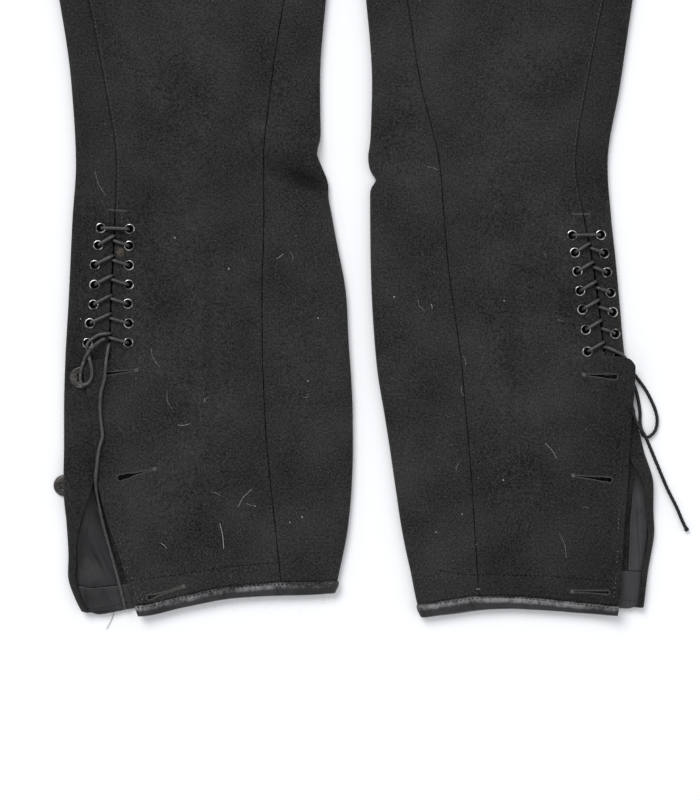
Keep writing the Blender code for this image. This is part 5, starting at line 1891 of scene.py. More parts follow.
@dataclass
class HemTrims:
    """The satin binding round one hem, and the facing and lining that show where the slit falls open."""

    form: LegForm
    puff: float = 1.15  # mm that the binding rolls up between its stitches and the edge
    pucker: float = 0.34  # mm that its puckers stand up
    pitch: float = 4.6  # mm between the binding's puckers
    step: float = 0.9  # mm between the binding's columns
    gap: float = 1.7  # mm between the middles of the back panel and of a strip on it
    deepest: float = -0.7  # mm that a fold in such a strip may sink
    under_flap: float = 5.5  # mm between the lining's inner edge and the flap's

    def build(self) -> None:
        """Builds the three strips."""
        self.build_binding()
        self.build_facing()
        self.build_lining()

    def edge_run(self) -> tuple[np.ndarray, np.ndarray, np.ndarray]:
        """Points along the front's hem and round the inner fold, with the ways up and off the cloth.

        Returns:
            The points, the ways up and the ways off, as rows.
        """
        # A second row, 14 mm higher, tells which way is up
        form, here, above = self.form, np.array([0.0]), np.array([14.0])
        runs = []
        flap, front = np.linspace(1, 0, 22)[:-1], np.linspace(0, 1, 70)
        for row in (here, above):
            parts = [form.front_points(True, flap, row)[0], form.front_points(False, front, row)[0]]
            parts.append(form.back_points(Group.INNER_FLAT, np.linspace(1, 0, 20)[1:], row)[0])
            parts.append(form.back_points(Group.INNER_ROUND, np.array([0.8, 0.6, 0.4, 0.25]), row)[0])
            runs.append(form.placed(np.concatenate(parts)))
        line = smooth_line(np.concatenate(runs, axis=1), self.step * MM)
        line, higher = line[:, :3], line[:, 3:]
        ups = unit(higher - line)
        return line, ups, unit(np.cross(np.gradient(line, axis=0), ups) * -form.side)

    def build_binding(self) -> None:
        """Wraps the binding round the hem, puckered by its stitches and lumpy at its turned end."""
        line, ups, normals = self.edge_run()
        off = CLOTH / 2 + SEAM_GAP + STRIP / 2
        cover = self.form.cut.binding
        over = np.linspace(cover, 0.3, 13)
        under = np.linspace(0.3, BINDING_BACK, 8)
        turns = np.linspace(math.pi / 2, -math.pi / 2, 9)[1:-1]
        section = [(a, off) for a in over]
        section += [(-off * 0.95 * math.cos(a), off * math.sin(a)) for a in turns]
        section += [(a, -off) for a in under]
        along = np.arange(len(line)) * self.step
        rows = []
        wider = 1 + self.form.cut.widening * eased(along / along[-1] * 1.3)
        # No two puckers are alike: their places and heights wander along the strip
        wander = np.sin(along / 11.3) + 0.6 * np.sin(along / 4.1 + 1.3) + 0.5 * np.sin(along / 2.7 + 0.4)
        for into, across in section:
            # down is 0 at the binding's stitched top and 1 at the hem's edge
            down = float(np.clip((cover - into) / cover, 0, 1))
            free = 3.15 * down**0.6 * (1 - down) ** 1.2
            phase = 2 * math.pi * along / self.pitch + 1.9 * wander + into * 0.55
            near = float(eased((into - 2.2) / 2.6))
            lump = np.exp(-((along / 5.0) ** 2))
            puckers = near * self.pucker * np.sin(phase) * (1 + 0.6 * wander)
            raised = free * (self.puff + puckers + 0.16 * wander)
            raised = raised + lump * 0.5 * (into < 5) * math.copysign(1, across)
            raised = np.where(across > 0, raised, 0.3 * raised)
            deeper = (0.25 * wander + 0.35 * np.sin(along / 23)) * (into > cover - 1.2) * (across > 0)
            point = line + ups * ((into * (wider if across > 0 else 1) + deeper)[:, None] * MM)
            point = point + normals * ((across + raised)[:, None] * MM)
            rows.append(point)
        name = f"hem_binding_{self.form.cut.name}"
        under = [f"front_panel_{self.form.cut.name}_wool"]
        add_cloth((f"{name}_satin", SATIN, name), np.array(rows), (STRIP, STRIP_EDGE))

    def inside(self, first: float, last: float, rows: np.ndarray, folds: Sequence[Crease]) -> np.ndarray:
        """A strip that lies on the back panel's inside, between two shares of its flat stretch.

        Args:
            first: where the strip starts across the panel.
            last: where it ends.
            rows: heights up the leg.
            folds: its soft folds.

        Returns:
            The points in out, up and height.
        """
        t = np.linspace(first, last, max(18, round((last - first) * 78)))
        grid = self.form.back_points(Group.FLAT, t, rows)
        out, up = grid[..., 0], grid[..., 1]
        sunk = 0.4 * eased((up - 78) / 16)  # up in the slit the lining lies closer to the wool
        grid[..., 2] += self.gap - sunk + np.maximum(creased(folds, out, up), self.deepest)
        return grid

    def build_facing(self) -> None:
        """The satin facing along the back's hem, turned over its edge."""
        cut = self.form.cut
        rows = spread((0.2, cut.facing_top - 0.4, 1.6))
        grid = self.inside(0.0, 1.0, rows, facing_folds(cut))
        edge = self.form.back_points(Group.FLAT, np.linspace(0, 1, grid.shape[1]), np.array([0.0]))[0]
        # The turned edge starts over the cloth's own edge and runs out past it
        tapered = eased(np.linalg.norm(edge - edge[0], axis=1) / 9.0)[:, None] * 2.6 - 1.3
        turns = ((-1.05, 0.1), (-1.15, 0.5), (-1, 1))
        turned = [edge + np.array([0, y, 0]) * tapered + (0, 0, z) for y, z in turns]
        line = grid[np.argmin(np.abs(rows - FACING_SEWN_AT[cut.side])), ::2, :2]
        grid = np.concatenate([np.array(turned), grid])
        piece = self.add_strip(f"hem_facing_{cut.name}", grid, FACING)
        needle = Needle(self.form, Surface.of_pieces([piece]))
        rows = [needle.row(line[:30], FACING_STITCH)]
        for thread in LOOSE_THREADS[cut.side]:
            points = smooth_line(np.array(thread), 0.6)
            points = np.array([tuple(self.form.at(*point)) for point in points]) * MM
            rows.append(tube(points, 0.16, 6))
        add_piece(f"facing_stitching_{cut.name}", Mesh.joined(rows), BLACK_THREAD)

    def build_lining(self) -> None:
        """The twill lining of the slit, above the facing."""
        cut = self.form.cut
        form, strip = self.form, []
        for up in spread((cut.facing_top - 0.05, LINING_TOP, 1.8)):
            outer = form.station("outer", up) - UNDER_ROUND
            ends = outer - form.station("flap", up) - self.under_flap
            share = float(ends / (outer - form.station("inner", up) - UNDER_ROUND))
            strip.append(self.inside(0.0, share, np.array([up]), facing_folds(cut)))
        grid = np.concatenate(strip)
        # The two legs' linings are lit and shaded copies of one cloth: painted light and shade
        finish = LINING if cut.side is Side.RIGHT else LIT_LINING
        piece = self.add_strip(f"placket_lining_{cut.name}", grid, finish)
        needle = Needle(form, Surface.of_pieces([piece]))
        rows = [needle.row(grid[2:-4, column, :2], LINING_STITCH) for column in (2, 15)]
        add_piece(f"lining_stitching_{cut.name}", Mesh.joined(rows), BLACK_THREAD)

    def add_strip(self, name: str, grid: np.ndarray, finish: Finish) -> bpy.types.Object:
        """Adds a strip from its middle in out, up and height.

        Args:
            name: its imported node.
            grid: its points.
            finish: what it is made of.

        Returns:
            The piece.
        """
        grid = self.form.placed(grid)
        return add_cloth((f"{name}_cloth", finish, name), grid, (STRIP, STRIP_EDGE))


def facing_folds(cut: LegCut) -> list[Crease]:
    """The soft diagonal folds of the lining and facing inside one slit.

    Args:
        cut: the leg's shape.

    Returns:
        The folds.
    """
    if cut.side is Side.RIGHT:
        return table(
            Crease, (194, 66, 176, 26, 2.4, 1.3), (188, 60, 172, 30, 2.2, -0.7),
            (196, 40, 188, 4, 2.6, 1), (178, 18, 170, 2, 2.2, 0.9), (203, 66, 200, 26, 2, 1),
            (186, 22, 182, 6, 2.2, -0.6), (198, 58, 191, 34, 2.2, -0.7), (206, 3.4, 150, 3.4, 1, -0.2),
            (199, 74, 186, 92, 5, -0.25),
        )
    return table(
        Crease, (219, 100, 222, 40, 2, 0.9), (214, 84, 213, 34, 2, 0.8),
        (216.5, 96, 217, 36, 1.8, -0.6), (224, 30, 221, 4, 1.8, 0.7), (206, 14, 222, 13, 1.6, -0.5),
        (210, 28, 214, 8, 2, 0.6),
    )


@dataclass
class Eyelets:
    """The pressed eyelets of one leg's lacing."""

    form: LegForm
    seats: tuple[list[Seat], list[Seat]]
    sides: int = 28
    # radius and height round the section: a barrel turned out under the cloth, a rolled flange over it
    section: Sequence[tuple[float, float]] = (
        (2.2, -1.6), (2.35, -1.8), (2.62, -1.85), (2.85, -1.7), (2.6, -1.3), (2.5, 0.9), (2.7, 1.15),
        (3.85, 1.15), (4.02, 1.3), (4.0, 1.55), (3.8, 1.8), (3.45, 1.97), (3.05, 2.0), (2.7, 1.9),
        (2.42, 1.68), (2.25, 1.35), (2.2, 0.9),
    )

    def build(self) -> None:
        """Sets an eyelet in each hole."""
        shape = lathe(self.section, self.sides, True)
        for column, seats in zip(("front", "back"), self.seats):
            for k, seat in enumerate(seats, 1):
                name = f"eyelet_{self.form.cut.name}_{column}_{k}"
                # The eyelet in the flap's shade has its lip painted dark
                finish = SHADED_BRASS if name == "eyelet_left_back_7" else BRASS
                add_piece(f"{name}_brass", seat.fit(shape), finish, [name])


@dataclass
class HornButton:
    """A four-hole horn button with a raised rim, sewn on with thread."""

    name: str
    seat: Seat
    radius: float
    height: float = BUTTON_H
    thread: Finish = BLACK_THREAD
    hole_ring: float = 0.24  # how far out the holes lie each way, as a share of the radius
    hole: float = 0.115  # their radius, likewise
    sides: int = 44
    # each thread, up one hole and down the next, in shares of half their distance and in millimetres
    arch: Sequence[tuple[float, float]] = (
        (-0.95, -0.2), (-0.9, 1.2), (-0.6, 1.72), (0, 1.84), (0.6, 1.72), (0.9, 1.2), (0.95, -0.2),
    )
    # radius and height as shares of the button's, from its back up and over the rim to its hollow
    section: Sequence[tuple[float, float]] = (
        (0.6, 0.0), (0.78, 0.0), (0.88, 0.1), (0.955, 0.3), (0.99, 0.5), (1.0, 0.62), (0.995, 0.76),
        (0.97, 0.9), (0.92, 0.985), (0.87, 0.99), (0.82, 0.93), (0.76, 0.78), (0.68, 0.66),
        (0.58, 0.6), (0.42, 0.575), (0.2, 0.57),
    )

    def build(self) -> None:
        """Turns the button, drills it and sews it on."""
        shape = lathe([(r * self.radius, h * self.height) for r, h in self.section], self.sides, False)
        shape.flat = None  # horn has no flat cloth
        body = add_piece(f"{self.name}_horn", self.seat.fit(shape), HORN, [self.name])
        ring, bore = self.hole_ring * self.radius, self.hole * self.radius
        spots = [(sx * ring, sy * ring) for sx in (-1, 1) for sy in (-1, 1)]
        drills = [prism(circle(bore, 14, *spot), -1, 4) for spot in spots]
        cut_through(body, Mesh.joined(self.seat.fit(drill) for drill in drills))
        strands = []
        for x in (-ring, ring):
            for k in range(3):
                at = x + (k - 1) * 0.34
                arch = [(at, y * ring, z) for y, z in self.arch]
                line = smooth_line(self.seat.place(np.array(arch)), 0.25 * MM)
                strands.append(tube(line, 0.2, 6))
        add_piece(f"{self.name}_thread", Mesh.joined(strands), self.thread)


@dataclass
class Lacing:
    """One leg's lace: crossed through the eyelets, then the loop and the tail that come free of it."""

    form: LegForm
    seats: tuple[list[Seat], list[Seat]]
    diameter: float = LACE_D
    sides: int = 12
    step: float = 0.55  # mm between the rings of its surface
    braid: float = 0.09  # the braid's relief, as a share of the radius
    rise: float = 0.7  # how far over the cloth it heads out of the slit, mm
    clear: float = 0.4  # mm left between a free lace and what it lies on
    sag: float = 0.45  # a limp lace sinks to this share of its neighbours' summed heights
    # heights in the slit: under the flap, coming up out of it, and tucked inside the leg
    under_flap: float = 8.2
    rising: float = 10.1
    tucked: float = 5.6

    def strand_in(self, seat: Seat, slit_up: float) -> list[Vector]:
        """From the slit up over the cloth and into an eyelet's bore.

        Args:
            seat: the eyelet's.
            slit_up: where it leaves the slit.

        Returns:
            Its points.
        """
        goal = self.form.slit_point(slit_up, TOP + self.rise)
        out = (seat.origin - goal).normalized()
        return [
            self.form.slit_point(slit_up, self.under_flap),
            self.form.slit_point(slit_up, self.rising) + Vector((out.x, out.y, 0)),
            *(seat.beside(goal, away, height) for away, height in DIVE[::-1]),
        ]

    def strand_out(self, seat: Seat, slit_up: float) -> list[Vector]:
        """From an eyelet's bore down inside and along to the slit.

        Args:
            seat: the eyelet's.
            slit_up: where it reaches the slit.

        Returns:
            Its points.
        """
        # Down through the bore, then flat along the inside of the cloth to the slit
        goal = self.form.slit_point(slit_up, TOP + self.rise)
        inside = seat.beside(goal, 4.4, -2)
        inside.z = INSIDE_Z + float(self.form.lift(abs(inside.x), inside.y + MIDDLE))
        back = (seat.origin - goal).normalized()
        turn = self.form.slit_point(slit_up, INSIDE_Z + 0.4) + Vector((back.x, back.y, 0)) * 0.4
        return [seat.beside(goal, 0.75, -1.6), seat.beside(goal, 1.7, -2.9), inside, turn]

    def crossings(self, start: int, count: int) -> list[Vector]:
        """A strand that crosses the slit, from the front's column (0) or the back's (1).

        Args:
            start: the column that it starts from.
            count: how often it crosses.

        Returns:
            The strand's points.
        """
        ups = (self.form.cut.front_eyelets, self.form.cut.back_eyelets)
        points = []
        for k in range(count):
            here, there = self.seats[(start + k) % 2][k], self.seats[(start + k + 1) % 2][k + 1]
            leftward = there.origin.x < here.origin.x
            up = ups[(start + k + 1) % 2][k + 1].up + (LEFTWARD_DROP if leftward else RIGHTWARD_DROP)
            points += self.strand_out(here, up)
            points += self.strand_in(there, up)
        return points

    def build_held(self) -> None:
        """The crossed lace between the eyelets."""
        cut, form = self.form.cut, self.form
        from_back, from_front = self.crossings(1, 5), self.crossings(0, 6)
        from_back += self.strand_out(self.seats[0][5], cut.loop_slit)
        from_back += [form.slit_point(cut.loop_slit, self.under_flap if cut.held_end else self.tucked)]
        from_back += [form.at(out, up, z + float(form.lift(out, up))) for out, up, z in cut.held_end]
        from_front += self.strand_out(self.seats[0][6], cut.tail_slit)
        from_front += [form.slit_point(cut.tail_slit, self.tucked)]
        front, back = self.seats[0][0], self.seats[1][0]
        bar = [back.beside(front.origin, *dive) for dive in DIVE]
        bar += [front.beside(back.origin, *dive) for dive in DIVE[::-1]]
        points = np.array([tuple(p) for p in from_back[::-1] + bar + from_front]) * MM
        mesh = tube(smooth_line(points, self.step * MM), self.diameter / 2, self.sides, self.braid)
        name = f"lacing_{cut.name}"
        add_piece(f"{name}_lace", mesh, LACE, [name])

    def laid(self, steps: Sequence[LaceStep], under: Surface) -> np.ndarray:
        """A free lace's centreline, laid on whatever lies under it, in frame metres.

        Args:
            steps: its route.
            under: what it lies on.

        Returns:
            The centreline's points.
        """
        radius, line = self.diameter / 2, []
        steps = halved(steps)
        for step in steps:
            x, y, _ = self.form.at(step.out, step.up, 0)
            if step.z is not None:
                line.append((x, y, step.z))
                continue
            ring = [(0.0, 0.0)] + circle(radius + 0.35, 8)
            tops = [under.height((x + dx) * MM, (y + dy) * MM) / MM for dx, dy in ring]
            line.append((x, y, max(tops) + radius + self.clear + step.over))
        points = np.array(line)
        heights = points[:, 2].copy()
        for k in range(1, len(points) - 1):
            if steps[k].z is None:
                points[k, 2] = max(heights[k], self.sag * (heights[k - 1] + heights[k + 1]))
        return smooth_line(points * MM, self.step * MM)

    def build_free(self, kind: str, steps: Sequence[LaceStep], under: Surface, far_end: str) -> None:
        """A free lace.

        Args:
            kind: "loop" or "tail".
            steps: its route.
            under: what it lies on.
            far_end: what its far end is, in the frame's words.
        """
        line = self.laid(steps, under)
        # The left leg's lace is a darker copy of the same lace: painted shade
        finish = LACE if self.form.cut.side is Side.RIGHT else SHADED_LACE
        name = f"lace_{kind}_{self.form.cut.name}"
        if far_end == "knot":
            # The end is melted to a small hard bead
            bead = resampled(line[-6:], 0.3 * MM)
            swell = 1.0 + 0.42 * np.sin(np.linspace(0.35, math.pi - 0.2, len(bead)))
            melted = tube(bead, self.diameter / 2 * swell, self.sides)
            add_piece(f"{name}_melted_end", melted, finish)
        mesh = tube(line, self.diameter / 2, self.sides, self.braid)
        lace = add_piece(f"{name}_lace", mesh, finish, [name])


def halved(steps: Sequence[LaceStep]) -> list[LaceStep]:
    """The steps with a point on a smooth curve halfway along each stretch.

    Args:
        steps: the route of a lace.

    Returns:
        The route with twice as many steps.
    """
    found = [steps[0]]
    for k in range(len(steps) - 1):
        a, b = steps[k], steps[k + 1]
        if math.hypot(a.out - b.out, a.up - b.up) < 3:
            found.append(b)
            continue
        before, after = steps[max(k - 1, 0)], steps[min(k + 2, len(steps) - 1)]
        mid = [(9 * (a[i] + b[i]) - before[i] - after[i]) / 16 for i in range(2)]
        z = None if a.z is None or b.z is None else (a.z + b.z) / 2
        found += [LaceStep(mid[0], mid[1], (a.over + b.over) / 2, z), b]
    return found


@dataclass
class Needle:
    """Lays rows of stitches on a leg's cloth."""

    form: LegForm
    surface: Surface

    def row(self, line: Sequence[tuple[float, float]], stitch: Stitch) -> Mesh:
        """Stitches along a line.

        Args:
            line: its (out, up) places.
            stitch: how it is sewn.

        Returns:
            The stitches as one mesh.
        """
        step, places = 0.2, np.array(line, float)
        path = smooth_line(places, step) if len(line) > 2 else resampled(places, step)
        count = max(1, int(len(path) * step / (stitch.length + stitch.gap)))
        stride = len(path) / count
        stitches = []
        for k in range(count):
            first = int(k * stride)
            last = min(len(path) - 1, first + max(2, round(stitch.length / step)))
            part = resampled(path[first : last + 1], stitch.length / 5)
            # Both its ends dip into the cloth
            dip = np.abs(np.linspace(-1, 1, len(part))) ** 3 * (0.35 + stitch.width / 2)
            laid = self.surface.draped(self.form, part, stitch.width / 2 - stitch.sunk - dip)
            if laid[:, 2].min() > 0.5 * MM:  # past the cloth's edge there is nothing to sew
                stitches.append(tube(laid, stitch.width / 2, 6))
        return Mesh.joined(stitches)

    def zigzag(self, start: Spot, end: Spot, width: float, pitch: float, thread: float) -> Mesh:
        """A bar tack: a dense zigzag over a straight tack.

        Args:
            start: one end.
            end: the other.
            width: how wide it is.
            pitch: how far each stitch goes on.
            thread: the thread's thickness.

        Returns:
            The tack as one mesh.
        """
        run = np.array([end.out - start.out, end.up - start.up])
        length = float(np.linalg.norm(run))
        run = run / length
        across = leftwards(run)
        count = max(2, int(length / pitch))
        line = [
            np.array(start) + run * (k * length / count) + across * width / 2 * (1 if k % 2 else -1)
            for k in range(count + 1)
        ]
        path = resampled(np.array(line), 0.3)
        return self.surface.thread(self.form, path, thread * 0.35, (thread / 2, 6))


@dataclass
class HolePlan:
    """A buttonhole's own axes on the flat cloth, from its round end along to its barred one."""

    origin: np.ndarray
    axes: np.ndarray
    length: float

    @classmethod
    def between(cls, start: Spot, end: Spot) -> HolePlan:
        """The plan of the buttonhole between two spots.

        Args:
            start: its round end.
            end: its barred end.

        Returns:
            The plan.
        """
        length = math.hypot(end.out - start.out, end.up - start.up)
        along = np.array([end.out - start.out, end.up - start.up]) / length
        return cls(np.array([start.out, start.up]), np.array([along, leftwards(along)]), length)

    def places(self, points: Sequence[Sequence[float]]) -> np.ndarray:
        """Places along and across it, as (out, up) ones."""
        return np.array(points) @ self.axes + self.origin


@dataclass
class LegStitching:
    """All the visible sewing of one leg."""

    form: LegForm
    panels: LegPanels
    seed: int = 3
    # radii of thread, mm: the purl's twist, the edge's own roll, a bar's thread and a frayed fibre
    twist: float = 0.17
    roll: float = 0.22
    bar_thread: float = 0.15
    fibre: float = 0.06
    bar_threads: int = 7
    frayed: int = 34

    def build(self) -> None:
        """Sews the seams, the bar tack, the hem and the flap."""
        cut, form = self.form.cut, self.form
        needle = Needle(form, self.panels.surface)
        beside = 1.8 if cut.side is Side.RIGHT else 1.5
        ups = spread((306.0, 852.0, 12))
        seam = [(float(form.station("seam", up)) - beside, float(up)) for up in ups]
        rows = [needle.row(seam, TOP_STITCH)]
        if cut.side is Side.LEFT:
            rows.append(needle.row(FLY_STITCHES, TOP_STITCH))
        name = cut.name
        add_piece(f"hem_stitching_{name}", needle.row(HEM_STITCHES[cut.side], HEM_STITCH), HEM_THREAD)
        add_piece(f"seam_stitching_{name}", Mesh.joined(rows), GREY_THREAD)
        for kind, lines, thread in (
            ("flap_stitching", FLAP_STITCHES, GREY_THREAD),
            ("worn_stitching", WORN_STITCHES, WORN_THREAD),
        ):
            stitches = Mesh.joined(needle.row(line, FLAP_STITCH) for line in lines[cut.side])
            add_piece(f"{kind}_{name}", stitches, thread)
        start, end = BAR_TACKS[cut.side]
        tacks = [needle.zigzag(start, end, width=1.5, pitch=0.55, thread=0.22)]
        tacks += [needle.row(line, PALE_STITCH) for line in PALE_STITCHES[cut.side]]
        add_piece(f"bar_tack_{name}", Mesh.joined(tacks), TACK_THREAD)
        self.build_buttonholes(needle)
        self.build_binding_rows()

    def build_buttonholes(self, needle: Needle) -> None:
        """Works each buttonhole round with purled twist and bars its inner end with a frayed bar.

        Args:
            needle: sews on the panels.
        """
        rng, cut = random.Random(self.seed), self.form.cut
        for k, ends in enumerate(cut.buttonholes, 1):
            plan = HolePlan.between(*ends)
            purl = self.purl(plan, self.panels.outline(k, plan.length), needle.surface, rng)
            twist = WORN_TWIST if cut.side is Side.RIGHT and k == 3 else PURL_TWIST
            add_piece(f"buttonhole_purl_{cut.name}_{k}", purl, twist)
            add_piece(f"buttonhole_bar_{cut.name}_{k}", self.bar(plan, needle.surface, rng), PALE_THREAD)

    def purl(self, plan: HolePlan, outline: list, surface: Surface, rng: random.Random) -> Mesh:
        """The twist round one buttonhole: uneven stitches away from its edge, and the edge's own roll.

        Args:
            plan: the buttonhole's axes.
            outline: its keyhole.
            surface: the cloth.
            rng: draws each stitch's depth and lean.

        Returns:
            The stitches as one mesh.
        """
        path = resampled(np.array([*outline, outline[0]]), 0.5)
        ways = unit(np.gradient(path, axis=0))
        outward = np.stack([ways[:, 1], -ways[:, 0]], axis=1)
        stitches, over = [], np.array([0.0, 0.13, -0.12])
        for here, away in zip(path, outward):
            deep = 1.15 + rng.uniform(-0.3, 0.45)
            lean = leftwards(away) * rng.uniform(-0.3, 0.3)
            middle = here + away * deep * 0.5 + lean * 0.5
            line = plan.places([here - away * 0.1, middle, here + away * deep + lean])
            stitches.append(surface.thread(self.form, line, over, (self.twist, 5)))
        roll = resampled(plan.places(path + outward * 0.06), 0.5)
        return Mesh.joined([*stitches, surface.thread(self.form, roll, 0.05, (self.roll, 6))])

    def bar(self, plan: HolePlan, surface: Surface, rng: random.Random) -> Mesh:
        """The bar across one buttonhole's inner end, and the fibres that have frayed out of it.

        Args:
            plan: the buttonhole's axes.
            surface: the cloth.
            rng: draws the threads.

        Returns:
            The threads as one mesh.
        """
        threads, fray = [], np.array([0.1, 0.5, 0.3])
        for n in range(self.bar_threads):
            x = plan.length - 0.6 + n * 0.32
            reach, slope = 1.5 + rng.uniform(-0.4, 0.4), rng.uniform(-0.35, 0.35)
            line = resampled(plan.places([(x - slope, -reach), (x, 0.0), (x + slope, reach)]), 0.6)
            arch = 0.3 * np.sin(np.linspace(0.1, math.pi - 0.1, len(line)))
            threads.append(surface.thread(self.form, line, arch, (self.bar_thread, 5)))
        for _ in range(self.frayed):
            spot = np.array([plan.length + rng.uniform(-1.2, 1.6), rng.uniform(-1.3, 1.3)])
            turn, reach = rng.uniform(0, 2 * math.pi), rng.uniform(0.6, 1.9)
            way = heading(turn) * reach
            line = plan.places([spot, spot + way * 0.5 + plan.axes[1] * 0.1, spot + way])
            threads.append(surface.thread(self.form, line, fray, (self.fibre, 4)))
        return Mesh.joined(threads)

    def build_binding_rows(self) -> None:
        """Two rows of small stitches along the binding's top edge: one on the satin, one on the wool."""
        form, name = self.form, self.form.cut.name
        satin = Surface.of_pieces([bpy.data.objects[f"hem_binding_{name}_satin"]])
        line, ups, _ = HemTrims(form).edge_run()
        line, ups = line[3:-16], ups[3:-16]
        wider = 1 + form.cut.widening * eased(np.arange(len(line)) / (len(line) - 1) * 1.3)
        stitches = []
        wool = self.panels.surface
        for into, surface, stitch in ((-1.15, satin, SATIN_STITCH), (0.75, wool, BINDING_STITCH)):
            places = line + ups * ((form.cut.binding * wider + into)[:, None] * MM)
            lying = [surface.height(x, y) > 1.5 * MM for x, y in places[:, :2]]
            places = places[: lying.index(False)] if False in lying else places
            run = places[::4, :2] / MM * (form.side, 1) + (0, MIDDLE)
            stitches.append(Needle(form, surface).row(run, stitch))
        add_piece(f"binding_stitching_{name}", Mesh.joined(stitches), HEM_THREAD)


# How far up from the facing's edge its stitches run, mm
FACING_SEWN_AT = {Side.RIGHT: 3.5, Side.LEFT: 5.0}
# Lines of (out, up) places, or of (out, up, height) ones for the loose threads
LOOSE_THREADS = {
    Side.RIGHT: [
        ((173.6, 9.0, 3.2), (174.2, 4.5, 2.6), (175.0, 1.0, 0.4), (177.4, -4.6, 0.3), (180.2, -9.8, 0.3))
    ],
    Side.LEFT: [],
}
FLY_STITCHES = ((38.0, 852.0), (38.0, 790.0), (37.0, 730.0), (32.0, 700.0), (19.0, 680.0), (4.0, 672.0))
HEM_STITCHES = {
    Side.RIGHT: ((164.3, 27), (128, 31.5), (91.5, 37.1), (50, 41)),
    Side.LEFT: ((70, 35), (85.5, 32.3), (116, 31.6), (147, 30.8), (172, 29), (197.7, 27)),
}
BAR_TACKS = {
    Side.RIGHT: (Spot(178.5, 305.5), Spot(164.3, 304.3)),
    Side.LEFT: (Spot(169.0, 302.0), Spot(182.8, 302.0)),
}
PALE_STITCHES = {
    Side.RIGHT: [((178.5, 303.8), (178.3, 294.0)), ((168.0, 303.8), (168.0, 293.3))],
    Side.LEFT: [((181.5, 300.5), (182.5, 293.5)), ((168.5, 311.0), (168.9, 303.5))],
}
FLAP_STITCHES = {
    Side.RIGHT: [((169.5, 64.5), (165.6, 44.0)), ((167.3, 62.0), (163.5, 42.0))],
    Side.LEFT: [
        ((207.9, 141.0), (205.1, 108.0), (204.5, 83.3), (203.4, 58.3)),
        ((189.0, 196.4), (191.0, 195.9), (193.5, 195.0)),
    ],
}
WORN_STITCHES = {
    Side.RIGHT: [
        ((164.2, 38.0), (162.6, 30.5)), ((160.4, 30.0), (158.5, 20.3)),
        ((155.3, 21.0), (153.0, 15.0), (151.5, 10.5)), ((157.8, 18.5), (155.4, 13.0), (153.9, 9.5)),
    ],
    Side.LEFT: [
        ((204.4, 81.0), (203.9, 64.0)), ((203.3, 50.0), (202.4, 38.0)), ((201.6, 30.0), (199.8, 12.8)),
    ],
}


@dataclass
class Lint:
    """Stray hairs, specks of lint and the nap's own loose fibres on one leg."""

    form: LegForm
    surface: Surface
    nap: int = 4200  # fibres on the cloth's face
    edge: int = 900  # and at its folded edges
    speck: int = 7  # hairs in a speck of lint
    seed: int = 11

    @staticmethod
    def bowed(middle: np.ndarray, way: np.ndarray, bend: float) -> np.ndarray:
        """A short hair's two ends and its middle, drawn aside."""
        return np.array([middle - way, middle + leftwards(way) * bend, middle + way])

    def build(self) -> None:
        """Lays the hairs, the specks and the nap."""
        rng = random.Random(self.seed)
        cut, form = self.form.cut, self.form
        hairs = []
        for hair in cut.hairs:
            a, b = np.array([hair.out, hair.up]), np.array([hair.to_out, hair.to_up])
            way = (b - a) / np.linalg.norm(b - a)
            middle = (a + b) / 2 + leftwards(way) * hair.bow
            line = resampled(smooth_line(np.array([a, middle, b]), 0.5), 0.8)
            hairs.append(self.surface.thread(form, line, 0.12, (hair.radius, 5)))
        for spot in cut.specks:
            for _ in range(self.speck):
                turn, reach = rng.uniform(0, 2 * math.pi), rng.uniform(0.3, 0.8)
                bend = rng.uniform(-0.5, 0.5)
                line = self.bowed(np.array(spot), heading(turn) * reach, bend)
                hairs.append(self.surface.thread(form, line, 0.2, (0.09, 4)))
        add_piece(f"lint_{cut.name}", Mesh.joined(hairs), WHITE_HAIR)
        fibres = []
        for _ in range(self.nap):
            up = rng.uniform(2, 480)
            low = float(form.station("inner", up)) + 3
            high = float(form.station("outer", up)) - 3
            out = rng.uniform(low, high)
            turn = rng.uniform(0, 2 * math.pi)
            reach = rng.uniform(0.5, 1.6)
            bend = rng.uniform(-0.6, 0.6)
            line = self.bowed(np.array([out, up]), heading(turn) * reach / 2, bend)
            over = np.array([-0.05, rng.uniform(0.1, 0.3), rng.uniform(0.0, 0.35)])
            laid = self.surface.draped(form, line, over)
            if np.ptp(laid[:, 2]) < 1.5 * MM:  # one that would hang over an edge is left out
                fibres.append(tube(laid, FIBRE_R, 3))
        for k in range(self.edge):
            # fibres that stand out past the folded edges
            column, way = ("outer", 1) if k % 2 else ("inner", -1)
            up = rng.uniform(8, 620)
            out = float(form.station(column, up))
            start = form.at(out - way * 0.7, up, rng.uniform(1.5, 5.5))
            reach = form.side * way * rng.uniform(0.9, 1.5)
            tip = start + Vector((reach, rng.uniform(-0.7, 0.7), rng.uniform(-0.4, 0.4)))
            mid = (start + tip) / 2 + Vector((0, rng.uniform(-0.2, 0.2), 0.1))
            fibres.append(tube(np.array([tuple(start), tuple(mid), tuple(tip)]) * MM, FIBRE_R, 3))
        add_piece(f"nap_{cut.name}", Mesh.joined(fibres), NAP)


